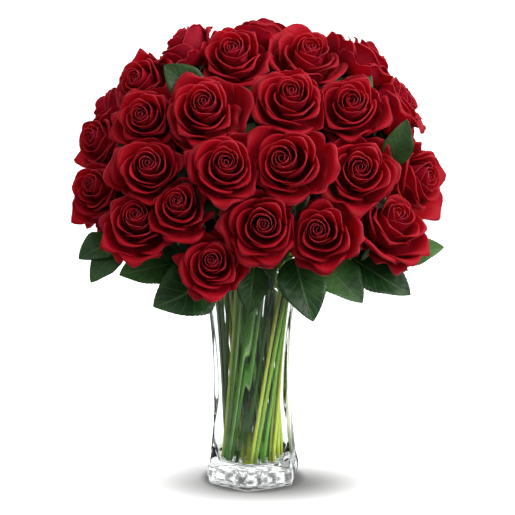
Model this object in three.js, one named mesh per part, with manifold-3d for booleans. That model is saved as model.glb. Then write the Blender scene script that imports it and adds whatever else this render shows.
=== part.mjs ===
// Three dozen red roses in a tall flared six-sided glass vase.
// Units are millimetres, +Z is up, and the front of the arrangement faces -Y.
// The origin is the centre of the vase's underside.
//
// The vase is pressed glass with a thick foot. It holds water, and the stems stand in plain holes in that water.
// The stems stand in small bunches that part as they rise. Each bunch is one node with its calyxes and leaves.
// Every bloom is a node of its own, made of petal layers round a bud.
// The blooms sit on a dome, so close that their petals press against their neighbours'.

import * as THREE from "three";
import { mergeVertices } from "three/addons/utils/BufferGeometryUtils.js";
import Module from "manifold-3d";

const wasm = await Module();
wasm.setup();

// Driving dimensions of the vase

const VASE_HEIGHT = 254;
const VASE_TURN = -7.2; // degrees that the front corner is turned from the -Y axis
const CORNER_BEVEL = 0.07; // share of a side that a softened corner takes at each end
const OUTER_PROFILE = [
  [0, 53.5],
  [3, 55.5],
  [32, 53.4],
  [70, 49.9],
  [110, 49],
  [160, 50.6],
  [205, 55.5],
  [235, 61],
  [VASE_HEIGHT, 66],
]; // height, radius to the corners
const FLOOR_HEIGHT = 24;
const INNER_PROFILE = [
  [FLOOR_HEIGHT, 36],
  [30, 40],
  [110, 40],
  [160, 43],
  [205, 49.5],
  [235, 56],
  [VASE_HEIGHT, 61],
];
const WATER_LEVEL = 233;
const CLEARANCE = 0.4; // between the water and what it touches

// Driving dimensions of the dome that the blooms' faces lie on

const DOME_HEIGHT = 325;
const DOME_SIDE = 196;
const DOME_FRONT = 168;
const DOME_BACK = 115;
const DOME_RISE = 186;

// Driving dimensions of a bloom

const FACE_DEPTH = 45; // from the seat of a bloom to its face
const HEAD_DEPTH = 20; // from the face back to the middle of the head
const HEAD_RADIUS = 40;
const SEED = 41;
const PRESS_DEPTH = 7; // how deep the petals give where two blooms meet
const PRESS_GAP = 0.5;
const PRESS_RANGE = 1.3; // how near two heads stand, in the sum of their radii, before they press

// Each ring of a bloom, from its seat outwards and then in to the bud: the radius and height at the middle of a petal,
// the share of that radius at the petal's hidden and its free edge, how far the edges drop, the petal's turn in
// petals, how much it varies, and the points drawn for each petal.
const PETAL_RINGS = [
  { radius: 24, height: 11, hidden: 1, free: 1, drop: 0, turn: 0, vary: 0, points: 3 },
  { radius: 41, height: 27, hidden: 0.88, free: 0.97, drop: 8, turn: 0, vary: 2.5, points: 3 },
  { radius: 28, height: 23, hidden: 0.97, free: 1, drop: 3, turn: 0.25, vary: 0, points: 3 },
  { radius: 33, height: 37, hidden: 0.88, free: 1, drop: 4, turn: 0.5, vary: 1.5, points: 3 },
  { radius: 20, height: 30, hidden: 0.97, free: 1, drop: 1, turn: 0.7, vary: 0, points: 2 },
  { radius: 23, height: 42.5, hidden: 0.84, free: 1, drop: 2, turn: 0.95, vary: 1, points: 2 },
  { radius: 12, height: 34, hidden: 0.95, free: 1, drop: 0, turn: 1.15, vary: 0, points: 2 },
  { radius: 13.5, height: 45, hidden: 0.8, free: 1, drop: 1.5, turn: 1.4, vary: 0.5, points: 2 },
  { radius: 5, height: 38, hidden: 0.9, free: 1, drop: 0, turn: 1.6, vary: 0, points: 2 },
];
const PETALS = 5;
const PETAL_EDGE = 0.36; // from a petal's middle to its drawn edge, in petals
const BUD_HEIGHT = 47;

// Driving dimensions of a stem and its calyx

const STEM_RADIUS = 2.6;
const STEM_SIDES = 5;
const STEM_FOOT = FLOOR_HEIGHT + 1.5;
const HOLE_RADIUS = STEM_RADIUS + CLEARANCE / Math.cos(Math.PI / STEM_SIDES);
const HIP_RADIUS = 5.5;
const HIP_LENGTH = 11; // from the end of the stem's tube to the seat of the bloom
const SEPAL_REACH = 18;
const SEPAL_DROP = 7; // how far a sepal's tip hangs below the seat
const SEAT_GAP = 0.4;
const FOOT_CIRCLE = 29.5; // the circle that the bunches stand within on the vase's floor
const RIM_CIRCLE = 45;
const RIM_LEVEL = 258;
const STEM_TWIST = 70; // degrees that the outer bunches turn between their feet and the rim
const INNER_TWIST = -70; // the inner bunches turn the other way, so that the two cross in view
const FOOT_SPREAD = [0, 2.35, 2.7]; // from the middle of a bunch of one, two or three stems to each stem's foot
const RIM_SPREAD = [0, 3.6, 4.2]; // the same at the rim
const NECK_BEND = 32; // length over which a stem bends to follow what it carries
const STEM_CLIMB = 0.42; // share of a stem's curve that still rises straight out of the vase
const SPRAY_CLIMB = 0.16; // the same for a spray of foliage
const SPRAY_SHARE = 0.9; // of the rim's circle, where the sprays leave the vase
const SPRAY_RADIUS = 2.2;

// Driving dimensions of a leaf

const LEAF_THICKNESS = 0.8;
const LEAF_ROWS = 6;
const LEAF_ARCH = 0.1; // rise of the rib, as a share of the leaf's length
const LEAF_FOLD = 0.22; // rise of the edges, as a share of the leaf's half width
const LEAF_TEETH = 0.05; // how far the cut edge stands in and out, as a share of the half width
const LEAF_NARROWEST = 0.06; // share of the half width that is left at the base and the tip
const LEAF_LIE = new THREE.Vector3(0.35, 0.65, 0.55); // how much a blade faces outwards, to the near side and up
const PETIOLE_RADIUS = 1.1;
const PETIOLE_REACH = 0.14; // share of the leaf's length that its stalk runs under
const PETIOLE_START = 14; // below the seat of the bloom, on a rose's stem
const SPRAY_PETIOLE_START = 0.2; // share of the last span of a spray's stem, back from its end

// Each rose is the azimuth and elevation of its place on the dome, how far out it stands as a share of the dome,
// the azimuth and elevation that it faces, and its size. Azimuth 0 is the front and 90 the right.
const ROSES = {
  top: [166, 76, 1.07, 170, 62, 0.98],
  crown_left: [-84, 66, 1.08, -100, 48, 1],
  crown_front: [-20, 70, 1, -8, 40, 1.02],
  crown_right: [50, 66, 1.03, 14, 50, 1.03],
  crown_back: [98, 52, 1.13, 108, 44, 1.04],
  high_far_left: [-70, 47, 1.03, -38, 26, 0.88],
  high_left_back: [-100, 32, 1.06, -96, 26, 0.92],
  high_left: [-47, 35, 1, -14, 22, 0.9],
  high_front_left: [-21, 40, 1, -4, 28, 1.08],
  high_front_right: [17, 45, 1, 2, 34, 1.02],
  high_right: [43, 41, 1, -4, 34, 1],
  high_far_right: [76, 35, 1.11, 80, 34, 1.03],
  side_right_back: [101, 22, 1, 104, 12, 1],
  side_left_high: [-79, 22, 1.01, -50, 14, 0.94],
  mid_far_left: [-36, 18, 1, -2, 24, 1.02],
  mid_left: [-9, 20, 1, 4, 24, 0.96],
  mid_front: [11, 21, 1, -10, 22, 1.08],
  mid_right: [37, 17, 1, 4, 22, 1.05],
  side_right: [74, 9, 1.05, 52, 8, 1.1],
  side_left: [-65, 7, 1.01, -30, 16, 0.88],
  low_far_left: [-39, 1, 1, -6, 30, 0.96],
  low_left: [-25, 6, 0.96, -6, 24, 0.9],
  side_left_low: [-96, -9, 0.92, -84, -6, 0.94],
  low_front: [3, 0, 1, 0, 14, 1.06],
  low_right: [21, -3, 1, -8, 18, 0.96],
  low_far_right: [53, 0, 1.01, 32, 40, 1.08],
  lowest: [-13, -13, 1, -2, 20, 0.88],
  back_far_right: [122, -6, 1, 122, -4, 1.04],
  back_right: [152, 1, 1, 152, 4, 1.1],
  back_middle: [179, -4, 1, 179, 0, 1.1],
  back_left: [-156, 1, 1, -156, 4, 1.1],
  back_far_left: [-128, 0, 1, -128, 0, 1.06],
  back_high_right: [129, 32, 1, 132, 28, 1.04],
  back_high_middle: [160, 38, 1.02, 165, 32, 1.08],
  back_high_left: [-166, 36, 1.02, -168, 30, 1.08],
  back_high_far_left: [-136, 34, 1, -126, 28, 1.06],
};

// Each bunch is the azimuth and share of the rim's circle at which it leaves the vase, and the roses that it carries.
const BUNCHES = [
  [-145, 0.9, ["back_left", "side_left_low", "back_far_left"]],
  [-116, 0.9, ["side_left_high", "side_left"]],
  [-64, 0.9, ["low_far_left", "mid_far_left"]],
  [-13, 0.9, ["low_left", "lowest", "mid_left"]],
  [13, 0.9, ["low_front", "mid_front"]],
  [64, 0.9, ["low_right", "mid_right", "low_far_right"]],
  [115, 0.9, ["side_right", "side_right_back", "back_far_right"]],
  [167, 0.9, ["back_right", "back_middle"]],
  [-154, 0.45, ["back_high_left", "back_high_far_left"]],
  [-103, 0.45, ["high_left_back", "high_far_left"]],
  [-51, 0.45, ["high_left", "high_front_left"]],
  [0, 0.45, ["crown_front"]],
  [51, 0.45, ["high_front_right", "high_right"]],
  [103, 0.45, ["high_far_right", "crown_back"]],
  [154, 0.45, ["back_high_right", "back_high_middle"]],
  [0, 0, ["top", "crown_left", "crown_right"]],
];

// Each spray of foliage is the azimuth at which it leaves the vase, the point where it ends outside the rim,
// and its leaves: the base, the tip and the width.
const SPRAYS = [
  {
    azimuth: -90,
    end: [-92, -26, 272],
    leaves: [
      [[-150, -58, 294], [-189, -80, 273], 42],
      [[-143, -74, 279], [-175, -95, 249], 34],
    ],
  },
  {
    azimuth: -39,
    end: [-48, -60, 266],
    leaves: [
      [[-88, -76, 268], [-143, -108, 260], 38],
      [[-51, -85, 263], [-106, -125, 229], 50],
    ],
  },
  {
    azimuth: 38,
    end: [38, -66, 268],
    leaves: [
      [[2, -88, 266], [-4, -112, 219], 36],
      [[46, -93, 276], [64, -135, 215], 50],
      [[78, -83, 272], [117, -120, 232], 40],
    ],
  },
  {
    azimuth: 90,
    end: [88, -40, 268],
    leaves: [
      [[108, -68, 273], [170, -98, 236], 44],
      [[156, -48, 266], [209, -62, 282], 36],
    ],
  },
  {
    azimuth: 141,
    end: [68, 50, 268],
    leaves: [
      [[118, 24, 264], [178, 36, 236], 46],
      [[92, 66, 266], [142, 104, 236], 46],
      [[48, 78, 264], [66, 132, 226], 46],
    ],
  },
  {
    azimuth: -167,
    end: [-46, 66, 268],
    leaves: [
      [[-4, 82, 264], [-8, 138, 226], 46],
      [[-60, 84, 266], [-92, 132, 234], 46],
      [[-104, 58, 268], [-160, 82, 240], 48],
    ],
  },
];

// Leaves that grow on the roses' own stems, in the gaps between the blooms: the rose, the base, the tip and the width.
const STEM_LEAVES = [
  ["high_left", [-70, -69, 446], [-91, -66, 486], 32],
  ["high_far_right", [114, -42, 440], [126, -36, 474], 20],
  ["mid_right", [146, -70, 372], [165, -80, 424], 34],
  ["mid_left", [-18, -96, 384], [2, -102, 423], 32],
  ["high_front_left", [-24, -66, 430], [4, -70, 456], 28],
  ["low_front", [26, -108, 328], [50, -114, 358], 26],
  ["low_left", [-52, -104, 328], [-20, -112, 344], 28],
  ["back_middle", [4, 72, 350], [16, 92, 398], 38],
  ["back_left", [-62, 60, 350], [-60, 70, 390], 34],
  ["back_high_middle", [54, 36, 440], [62, 14, 468], 32],
  ["back_high_left", [-36, 44, 436], [-46, 20, 468], 32],
];

const UP = new THREE.Vector3(0, 0, 1);

/** The unit vector at an azimuth and an elevation in degrees. */
function direction(azimuth, elevation = 0) {
  const a = THREE.MathUtils.degToRad(azimuth);
  const e = THREE.MathUtils.degToRad(elevation);
  return new THREE.Vector3(
    Math.sin(a) * Math.cos(e),
    -Math.cos(a) * Math.cos(e),
    Math.sin(e),
  );
}

/** A seeded source of numbers from 0 to 1, so that each run draws the same petals. */
function seeded(seed) {
  let state = seed >>> 0;
  return () => {
    state = (Math.imul(state, 1664525) + 1013904223) >>> 0;
    return state / 4294967296;
  };
}

/** The closed geometry of vertices and triangles as a solid. */
function solidOf(points, triangles) {
  const geometry = new THREE.BufferGeometry();
  geometry.setAttribute(
    "position",
    new THREE.Float32BufferAttribute(points.flatMap((p) => [p.x, p.y, p.z]), 3),
  );
  geometry.setIndex(triangles);
  const merged = mergeVertices(geometry, 1e-4);
  return new wasm.Manifold(
    new wasm.Mesh({
      numProp: 3,
      vertProperties: merged.attributes.position.array,
      triVerts: new Uint32Array(merged.index.array),
    }),
  );
}

/** A named mesh of a solid. */
function meshOf(name, solid, material) {
  const { numProp, vertProperties, triVerts } = solid.getMesh();
  const positions = [];
  for (let i = 0; i < vertProperties.length; i += numProp) {
    positions.push(...vertProperties.subarray(i, i + 3));
  }
  const geometry = new THREE.BufferGeometry();
  geometry.setAttribute(
    "position",
    new THREE.Float32BufferAttribute(positions, 3),
  );
  geometry.setIndex([...triVerts]);
  geometry.computeVertexNormals();
  const mesh = new THREE.Mesh(geometry, material);
  mesh.name = name;
  return mesh;
}

/** A solid lofted through rings of points, closed by a fan at each end. A ring of one point is a pole. */
function loft(rings) {
  const points = rings.flat();
  const triangles = [];
  const starts = [];
  rings.reduce((start, ring) => {
    starts.push(start);
    return start + ring.length;
  }, 0);
  for (let k = 0; k + 1 < rings.length; k += 1) {
    const [a, b] = [starts[k], starts[k + 1]];
    const [n, m] = [rings[k].length, rings[k + 1].length];
    let [i, j] = [0, 0];
    const [steps, across] = [n > 1 ? n : 0, m > 1 ? m : 0];
    while (i < steps || j < across) {
      const low = a + (i % n);
      const high = b + (j % m);
      if (j >= across || (i < steps && (i + 0.5) * m <= (j + 0.5) * n)) {
        triangles.push(low, a + ((i + 1) % n), high);
        i += 1;
      } else {
        triangles.push(low, b + ((j + 1) % m), high);
        j += 1;
      }
    }
  }
  const cap = (start, count, turned) => {
    for (let i = 1; i + 1 < count; i += 1) {
      triangles.push(
        start,
        start + (turned ? i + 1 : i),
        start + (turned ? i : i + 1),
      );
    }
  };
  cap(starts[0], rings[0].length, true);
  cap(starts.at(-1), rings.at(-1).length, false);
  return solidOf(points, triangles);
}

/** A ring of points round a centre, in the plane of two unit vectors. */
function ring(centre, u, v, radius, sides, phase = 0) {
  return Array.from({ length: sides }, (_, i) => {
    const angle = ((i + phase) / sides) * 2 * Math.PI;
    return centre
      .clone()
      .addScaledVector(u, radius * Math.cos(angle))
      .addScaledVector(v, radius * Math.sin(angle));
  });
}

/** Two unit vectors that are square to a direction and carried on from the last pair with no twist. */
function carriedFrame(along, lastU) {
  const u = lastU
    .clone()
    .addScaledVector(along, -lastU.dot(along))
    .normalize();
  return [u, along.clone().cross(u)];
}

/** The rings of a tube that follows points, with a radius at each. */
function tubeRings(path, radii, sides) {
  let u = Math.abs(path[1].clone().sub(path[0]).normalize().x) < 0.9
    ? new THREE.Vector3(1, 0, 0)
    : new THREE.Vector3(0, 1, 0);
  return path.map((point, i) => {
    const before = path[Math.max(i - 1, 0)];
    const after = path[Math.min(i + 1, path.length - 1)];
    const [carried, v] = carriedFrame(after.clone().sub(before).normalize(), u);
    u = carried;
    return ring(point, u, v, radii[i], sides);
  });
}

// The vase and its water

/** A radius read from a profile of heights and radii. */
function radiusAt(profile, height) {
  const next = Math.max(
    profile.findIndex(([z]) => z >= height),
    1,
  );
  const [[z0, r0], [z1, r1]] = [profile[next - 1], profile[next]];
  return THREE.MathUtils.mapLinear(height, z0, z1, r0, r1);
}

/** A level hexagon with softened corners. */
function hexagon(radius, height) {
  const corner = (i) => {
    const d = direction(VASE_TURN + 60 * i);
    return new THREE.Vector3(d.x * radius, d.y * radius, height);
  };
  return Array.from({ length: 6 }, (_, i) => [
    corner(i).lerp(corner(i - 1), CORNER_BEVEL),
    corner(i).lerp(corner(i + 1), CORNER_BEVEL),
  ]).flat();
}

/** The vase: a lofted hexagonal body with its hollow taken out from the rim down. */
function vaseSolid() {
  const body = loft(OUTER_PROFILE.map(([z, r]) => hexagon(r, z)));
  const [rimHeight, rimRadius] = INNER_PROFILE.at(-1);
  const hollow = [...INNER_PROFILE, [rimHeight + 5, rimRadius + 1]];
  return body.subtract(loft(hollow.map(([z, r]) => hexagon(r, z))));
}

/** The water: the hollow up to the water level, less a clearance, with a hole for each stem. */
function waterSolid(holes) {
  const levels = INNER_PROFILE.filter(([z]) => z < WATER_LEVEL);
  const inset = CLEARANCE / Math.cos(Math.PI / 6);
  const rings = [
    ...levels.map(([z, r], i) => hexagon(r - inset, i ? z : z + CLEARANCE)),
    hexagon(radiusAt(INNER_PROFILE, WATER_LEVEL) - inset, WATER_LEVEL),
  ];
  return wasm.Manifold.difference([loft(rings), ...holes]);
}

// Blooms

/** Where a rose stands and which way it faces. */
function placeRose([azimuth, elevation, share, faceAzimuth, faceElevation, size]) {
  const out = direction(azimuth, elevation).multiplyScalar(share);
  const depth = out.y < 0 ? DOME_FRONT : DOME_BACK;
  const axis = direction(faceAzimuth, faceElevation);
  const face = new THREE.Vector3(
    out.x * DOME_SIDE,
    out.y * depth,
    DOME_HEIGHT + out.z * DOME_RISE,
  );
  const [u, v] = carriedFrame(
    axis,
    Math.abs(axis.z) < 0.9 ? UP : new THREE.Vector3(0, 1, 0),
  );
  return {
    axis,
    u,
    v,
    size,
    seat: face.clone().addScaledVector(axis, -FACE_DEPTH * size),
    head: face.clone().addScaledVector(axis, -HEAD_DEPTH * size),
  };
}

/** The planes that part a bloom from those beside it: a unit normal and the furthest reach along it. */
function neighbourPlanes(rose, others) {
  return others
    .filter((other) => other !== rose)
    .map((other) => {
      const normal = other.head.clone().sub(rose.head);
      const distance = normal.length();
      return { normal: normal.normalize(), other, distance };
    })
    .filter(({ other, distance }) => distance < PRESS_RANGE * HEAD_RADIUS * (rose.size + other.size))
    .map(({ normal, other, distance }) => ({
      normal,
      reach: (distance * rose.size) / (rose.size + other.size) - PRESS_GAP / 2,
    }));
}

/** A point bent clear of the blooms beside its own: past a soft depth it nears each plane but never meets it. */
function pressed(point, rose, planes) {
  for (const { normal, reach } of planes) {
    const start = reach - PRESS_DEPTH;
    const past = point.clone().sub(rose.head).dot(normal) - start;
    if (past > 0) {
      const bent = (PRESS_DEPTH * past) / (PRESS_DEPTH + past);
      point.addScaledVector(normal, bent - past);
    }
  }
  return point;
}

/** A bloom: shingled petals in four layers round a bud, pressed clear of the blooms beside it. */
function bloomSolid(rose, planes, random) {
  const start = random();
  const place = (radius, turns, height) => {
    const angle = (turns / PETALS) * 2 * Math.PI;
    return pressed(
      rose.seat
        .clone()
        .addScaledVector(rose.axis, rose.size * height)
        .addScaledVector(rose.u, rose.size * radius * Math.cos(angle))
        .addScaledVector(rose.v, rose.size * radius * Math.sin(angle)),
      rose,
      planes,
    );
  };
  const rings = PETAL_RINGS.map(
    ({ radius, height, hidden, free, drop, turn, vary, points }) =>
      Array.from({ length: PETALS }, (_, petal) => {
        const reach = radius + vary * (2 * random() - 1);
        const lift = height + vary * (random() - 0.5);
        const middle = petal + turn + start;
        return [
          place(reach * hidden, middle - PETAL_EDGE, lift - drop),
          place(reach, middle, lift),
          place(reach * free, middle + PETAL_EDGE, lift - drop),
        ].slice(0, points);
      }).flat(),
  );
  return loft([[place(0, 0, 0)], ...rings, [place(0, 0, BUD_HEIGHT)]]);
}

// Stems, calyxes and leaves

/** The straight run inside the vase of a stem that leans by an azimuth from the middle of its bunch. */
function stemInVase(azimuth, share, lean, members) {
  const twist = share > 0.5 ? STEM_TWIST : INNER_TWIST;
  const foot = direction(azimuth - twist).multiplyScalar(FOOT_CIRCLE * share);
  const rim = direction(azimuth).multiplyScalar(RIM_CIRCLE * share);
  const spread = direction(lean);
  return [
    foot.addScaledVector(spread, FOOT_SPREAD[members - 1]).setZ(STEM_FOOT),
    rim.addScaledVector(spread, RIM_SPREAD[members - 1]).setZ(RIM_LEVEL),
  ];
}

/** The azimuths that the stems of a bunch lean by, the first towards its own rose. */
function leansOf(names) {
  const middle = new THREE.Vector3();
  names.forEach((name) => middle.addScaledVector(roses[name].seat, 1 / names.length));
  const first = roses[names[0]].seat.clone().sub(middle);
  const azimuth = THREE.MathUtils.radToDeg(Math.atan2(first.x, -first.y));
  return names.map((_, member) => azimuth + (360 * member) / names.length);
}

/**
 * Points along a stem: straight through the vase, then a curve that meets its end along a given direction.
 * The climb is the share of the curve's length that still rises straight out of the vase.
 */
function stemPath([foot, rim], end, along, steps, climb = STEM_CLIMB) {
  const length = end.distanceTo(rim);
  const rise = rim.clone().sub(foot).normalize();
  const curve = new THREE.CubicBezierCurve3(
    rim,
    rim.clone().addScaledVector(rise, climb * length),
    end.clone().addScaledVector(along, -NECK_BEND),
    end,
  );
  return [foot, ...curve.getPoints(steps)];
}

/** A rose's stem with its hip and its five sepals, up to the seat of the bloom. */
function roseStemSolid(rose, inVase) {
  const at = (height) => rose.seat.clone().addScaledVector(rose.axis, height);
  const neck = at(-HIP_LENGTH);
  const path = stemPath(inVase, neck, rose.axis, 3);
  const rings = tubeRings(path, path.map(() => STEM_RADIUS), STEM_SIDES);
  const [u, v] = carriedFrame(rose.axis, rings.at(-1)[0].clone().sub(neck).normalize());
  const calyx = (height, radius, turn) => ring(at(height), u, v, radius, STEM_SIDES, turn)[0];
  const sepals = Array.from({ length: STEM_SIDES }, (_, i) => [
    calyx(-2, HIP_RADIUS, i - 0.25),
    calyx(-SEPAL_DROP, SEPAL_REACH, i),
    calyx(-2, HIP_RADIUS, i + 0.25),
  ]).flat();
  return loft([
    ...rings,
    ring(at(-HIP_LENGTH / 2), u, v, HIP_RADIUS, STEM_SIDES),
    sepals,
    [at(-SEAT_GAP)],
  ]);
}

/** A leaf's own directions, and its arched rib as a function of the share of its length. */
function leafFrame(base, tip) {
  const along = tip.clone().sub(base);
  const length = along.length();
  along.normalize();
  const outward = base.clone().add(tip).setZ(0).normalize();
  const face = new THREE.Vector3(0, LEAF_LIE.y * Math.sign(tip.y), LEAF_LIE.z).addScaledVector(
    outward,
    LEAF_LIE.x,
  );
  const across = along.clone().cross(face).normalize();
  const normal = across.clone().cross(along);
  const rib = (t) =>
    base
      .clone()
      .addScaledVector(along, length * t)
      .addScaledVector(normal, LEAF_ARCH * length * Math.sin(Math.PI * t));
  return { across, normal, rib };
}

/** A leaf blade: an oval with an arched rib, raised sides, a cut edge and a drawn-out tip. */
function leafSolid(base, tip, width) {
  const { across, normal, rib } = leafFrame(base, tip);
  const rows = Array.from({ length: LEAF_ROWS }, (_, i) => {
    const t = i / (LEAF_ROWS - 1);
    const oval = Math.sin(Math.PI * t ** 0.8) ** 0.8;
    const half = (width / 2) * Math.max(LEAF_NARROWEST, oval) * (1 + LEAF_TEETH * (i % 2 ? 1 : -1));
    return [-1, 0, 1].map((side) =>
      rib(t)
        .addScaledVector(across, side * half)
        .addScaledVector(normal, LEAF_FOLD * half * Math.abs(side)),
    );
  });
  return blade(rows, normal);
}

/** A thin closed solid on both sides of rows of three points. */
function blade(rows, normal) {
  const rings = rows.map((row) => {
    const top = row.map((p) => p.clone().addScaledVector(normal, LEAF_THICKNESS / 2));
    const under = row.map((p) => p.clone().addScaledVector(normal, -LEAF_THICKNESS / 2));
    return [...top, ...under.reverse()];
  });
  const made = loft(rings);
  return made.volume() > 0 ? made : loft(rings.reverse());
}

/** A leaf stalk from a stem to the rib of a leaf, sunk into both. */
function petioleSolid(from, base, tip) {
  const { rib } = leafFrame(base, tip);
  const path = [from, rib(0), rib(PETIOLE_REACH)];
  return loft(tubeRings(path, path.map(() => PETIOLE_RADIUS), 3));
}

// Assembly

const glass = new THREE.MeshStandardMaterial({
  color: 0xe4eeea,
  roughness: 0.03,
  metalness: 0,
  transparent: true,
  opacity: 0.35,
});
const waterMaterial = new THREE.MeshStandardMaterial({
  color: 0xd8e8e2,
  roughness: 0.02,
  metalness: 0,
  transparent: true,
  opacity: 0.3,
});
const petalMaterial = new THREE.MeshStandardMaterial({
  color: 0xa3081a,
  roughness: 0.55,
  metalness: 0,
  side: THREE.DoubleSide,
});
const stemMaterial = new THREE.MeshStandardMaterial({
  color: 0x4c7a2a,
  roughness: 0.5,
  metalness: 0,
});
const leafMaterial = new THREE.MeshStandardMaterial({
  color: 0x1f4a1c,
  roughness: 0.4,
  metalness: 0,
});

const arrangement = new THREE.Group();
const roses = Object.fromEntries(
  Object.entries(ROSES).map(([name, row]) => [name, placeRose(row)]),
);
const holes = [];

/** A stem's hole in the water: its straight run, a clearance wider. */
function holeFor([foot, rim]) {
  const below = foot.clone().lerp(rim, -0.05);
  return loft(
    tubeRings([below, rim], [HOLE_RADIUS, HOLE_RADIUS], STEM_SIDES),
  );
}

Object.entries(roses).forEach(([name, rose], index) => {
  const planes = neighbourPlanes(rose, Object.values(roses));
  arrangement.add(
    meshOf(
      `bloom_${name}`,
      bloomSolid(rose, planes, seeded(SEED + index)),
      petalMaterial,
    ),
  );
});

BUNCHES.forEach(([azimuth, share, names], index) => {
  const leans = leansOf(names);
  const stems = names.map((name, member) => {
    const inVase = stemInVase(azimuth, share, leans[member], names.length);
    holes.push(holeFor(inVase));
    return roseStemSolid(roses[name], inVase);
  });
  const leaves = STEM_LEAVES.filter(([name]) => names.includes(name)).flatMap(
    ([name, base, tip, width]) => {
      const from = roses[name].seat.clone().addScaledVector(roses[name].axis, -PETIOLE_START);
      const [b, t] = [new THREE.Vector3(...base), new THREE.Vector3(...tip)];
      return [petioleSolid(from, b, t), leafSolid(b, t, width)];
    },
  );
  const number = String(index + 1).padStart(2, "0");
  arrangement.add(
    meshOf(`stems_${number}`, wasm.Manifold.union([...stems, ...leaves]), stemMaterial),
  );
});

SPRAYS.forEach(({ azimuth, end, leaves }, index) => {
  const inVase = stemInVase(azimuth, SPRAY_SHARE, 0, 1);
  holes.push(holeFor(inVase));
  const tipPoint = new THREE.Vector3(...end);
  const outward = tipPoint.clone().setZ(0).normalize();
  const path = stemPath(inVase, tipPoint, outward, 4, SPRAY_CLIMB);
  const parts = [loft(tubeRings(path, path.map(() => SPRAY_RADIUS), STEM_SIDES))];
  for (const [base, tip, width] of leaves) {
    const [b, t] = [new THREE.Vector3(...base), new THREE.Vector3(...tip)];
    const from = path.at(-1).clone().lerp(path.at(-2), SPRAY_PETIOLE_START);
    parts.push(petioleSolid(from, b, t));
    parts.push(leafSolid(b, t, width));
  }
  arrangement.add(
    meshOf(`spray_${index + 1}`, wasm.Manifold.union(parts), leafMaterial),
  );
});

arrangement.add(meshOf("vase", vaseSolid(), glass));
arrangement.add(meshOf("water", waterSolid(holes), waterMaterial));

export default arrangement;
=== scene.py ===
"""Three dozen red roses in a flared six-sided glass vase.

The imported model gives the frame, in metres, with +Z up and the front facing -Y. Every bloom, stem and leaf,
the water and the vase are made again here in their places with fine petals, sepals, thorns and toothed
leaves.
"""

import logging
import math
from dataclasses import dataclass, field
from enum import Enum
from functools import cached_property
from typing import Any, Sequence

import bpy
import numpy as np
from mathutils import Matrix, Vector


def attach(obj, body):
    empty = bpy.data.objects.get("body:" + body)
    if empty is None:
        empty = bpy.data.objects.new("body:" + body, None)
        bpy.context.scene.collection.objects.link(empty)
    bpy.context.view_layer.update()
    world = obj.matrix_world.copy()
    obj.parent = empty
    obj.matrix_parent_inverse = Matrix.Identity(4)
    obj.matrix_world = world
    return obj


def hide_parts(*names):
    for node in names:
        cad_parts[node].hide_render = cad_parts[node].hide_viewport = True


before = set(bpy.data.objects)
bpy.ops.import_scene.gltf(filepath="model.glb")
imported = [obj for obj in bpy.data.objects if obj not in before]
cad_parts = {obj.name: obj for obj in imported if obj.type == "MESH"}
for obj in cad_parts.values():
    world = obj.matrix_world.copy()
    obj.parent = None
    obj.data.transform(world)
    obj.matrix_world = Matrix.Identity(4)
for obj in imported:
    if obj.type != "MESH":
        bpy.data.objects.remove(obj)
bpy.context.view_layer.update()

MM = 0.001
SEED = 41
BUNCH_SEED = 100
SPRAY_SEED = 200
BODY = "root"
SHORTEST = 1e-12
UP = np.array([0.0, 0.0, 1.0])

# The side ribs of a leaf, which its mesh and its finish share: their number, and how far back each starts.
LEAF_RIBS = 7.0
LEAF_SLANT = 0.42

Array = np.ndarray
Pair = tuple[float, float]
Triple = tuple[float, float, float]
Colour = tuple[float, float, float, float]

log = logging.getLogger("roses")


# Directions and curves


def direction(azimuth: Array | float, elevation: Array | float = 0.0) -> Array:
    """The unit vector at an azimuth from the front, -Y, and an elevation, both in degrees.

    Args:
        azimuth: Degrees from the front towards the right.
        elevation: Degrees above the level.

    Returns:
        Vectors of the arguments' shape with a last axis of three.
    """
    turn, rise = np.radians(azimuth), np.radians(elevation)
    parts = np.sin(turn) * np.cos(rise), -np.cos(turn) * np.cos(rise), np.sin(rise)
    return np.stack(np.broadcast_arrays(*parts), axis=-1)


def unit(vectors: Array) -> Array:
    """The vectors at length one."""
    return vectors / np.maximum(np.linalg.norm(vectors, axis=-1, keepdims=True), SHORTEST)


def square_to(along: Array, near: Array) -> Array:
    """The unit vectors square to along that lie nearest to a given vector."""
    return unit(near - along * np.sum(along * near, axis=-1, keepdims=True))


def smooth_step(values: Array, low: float, high: float) -> Array:
    """0 below low, 1 above high, and between them three of the share's squares less two of its cubes."""
    share = np.clip((values - low) / (high - low), 0.0, 1.0)
    return share * share * (3.0 - 2.0 * share)


def cubic(p0: Array, p1: Array, p2: Array, p3: Array, t: Array) -> Array:
    """Points on a cubic Bezier curve: its four points weighted by the terms of (t + (1 - t)) cubed."""
    r = 1.0 - t
    return r**3 * p0 + 3 * r * r * t * p1 + 3 * r * t * t * p2 + t**3 * p3


def cubic_slope(p0: Array, p1: Array, p2: Array, p3: Array, t: Array) -> Array:
    """The derivative of the same curve: the spans between its points weighted by (t + (1 - t)) squared."""
    r = 1.0 - t
    return 3 * (r * r * (p1 - p0) + 2 * r * t * (p2 - p1) + t * t * (p3 - p2))


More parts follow.
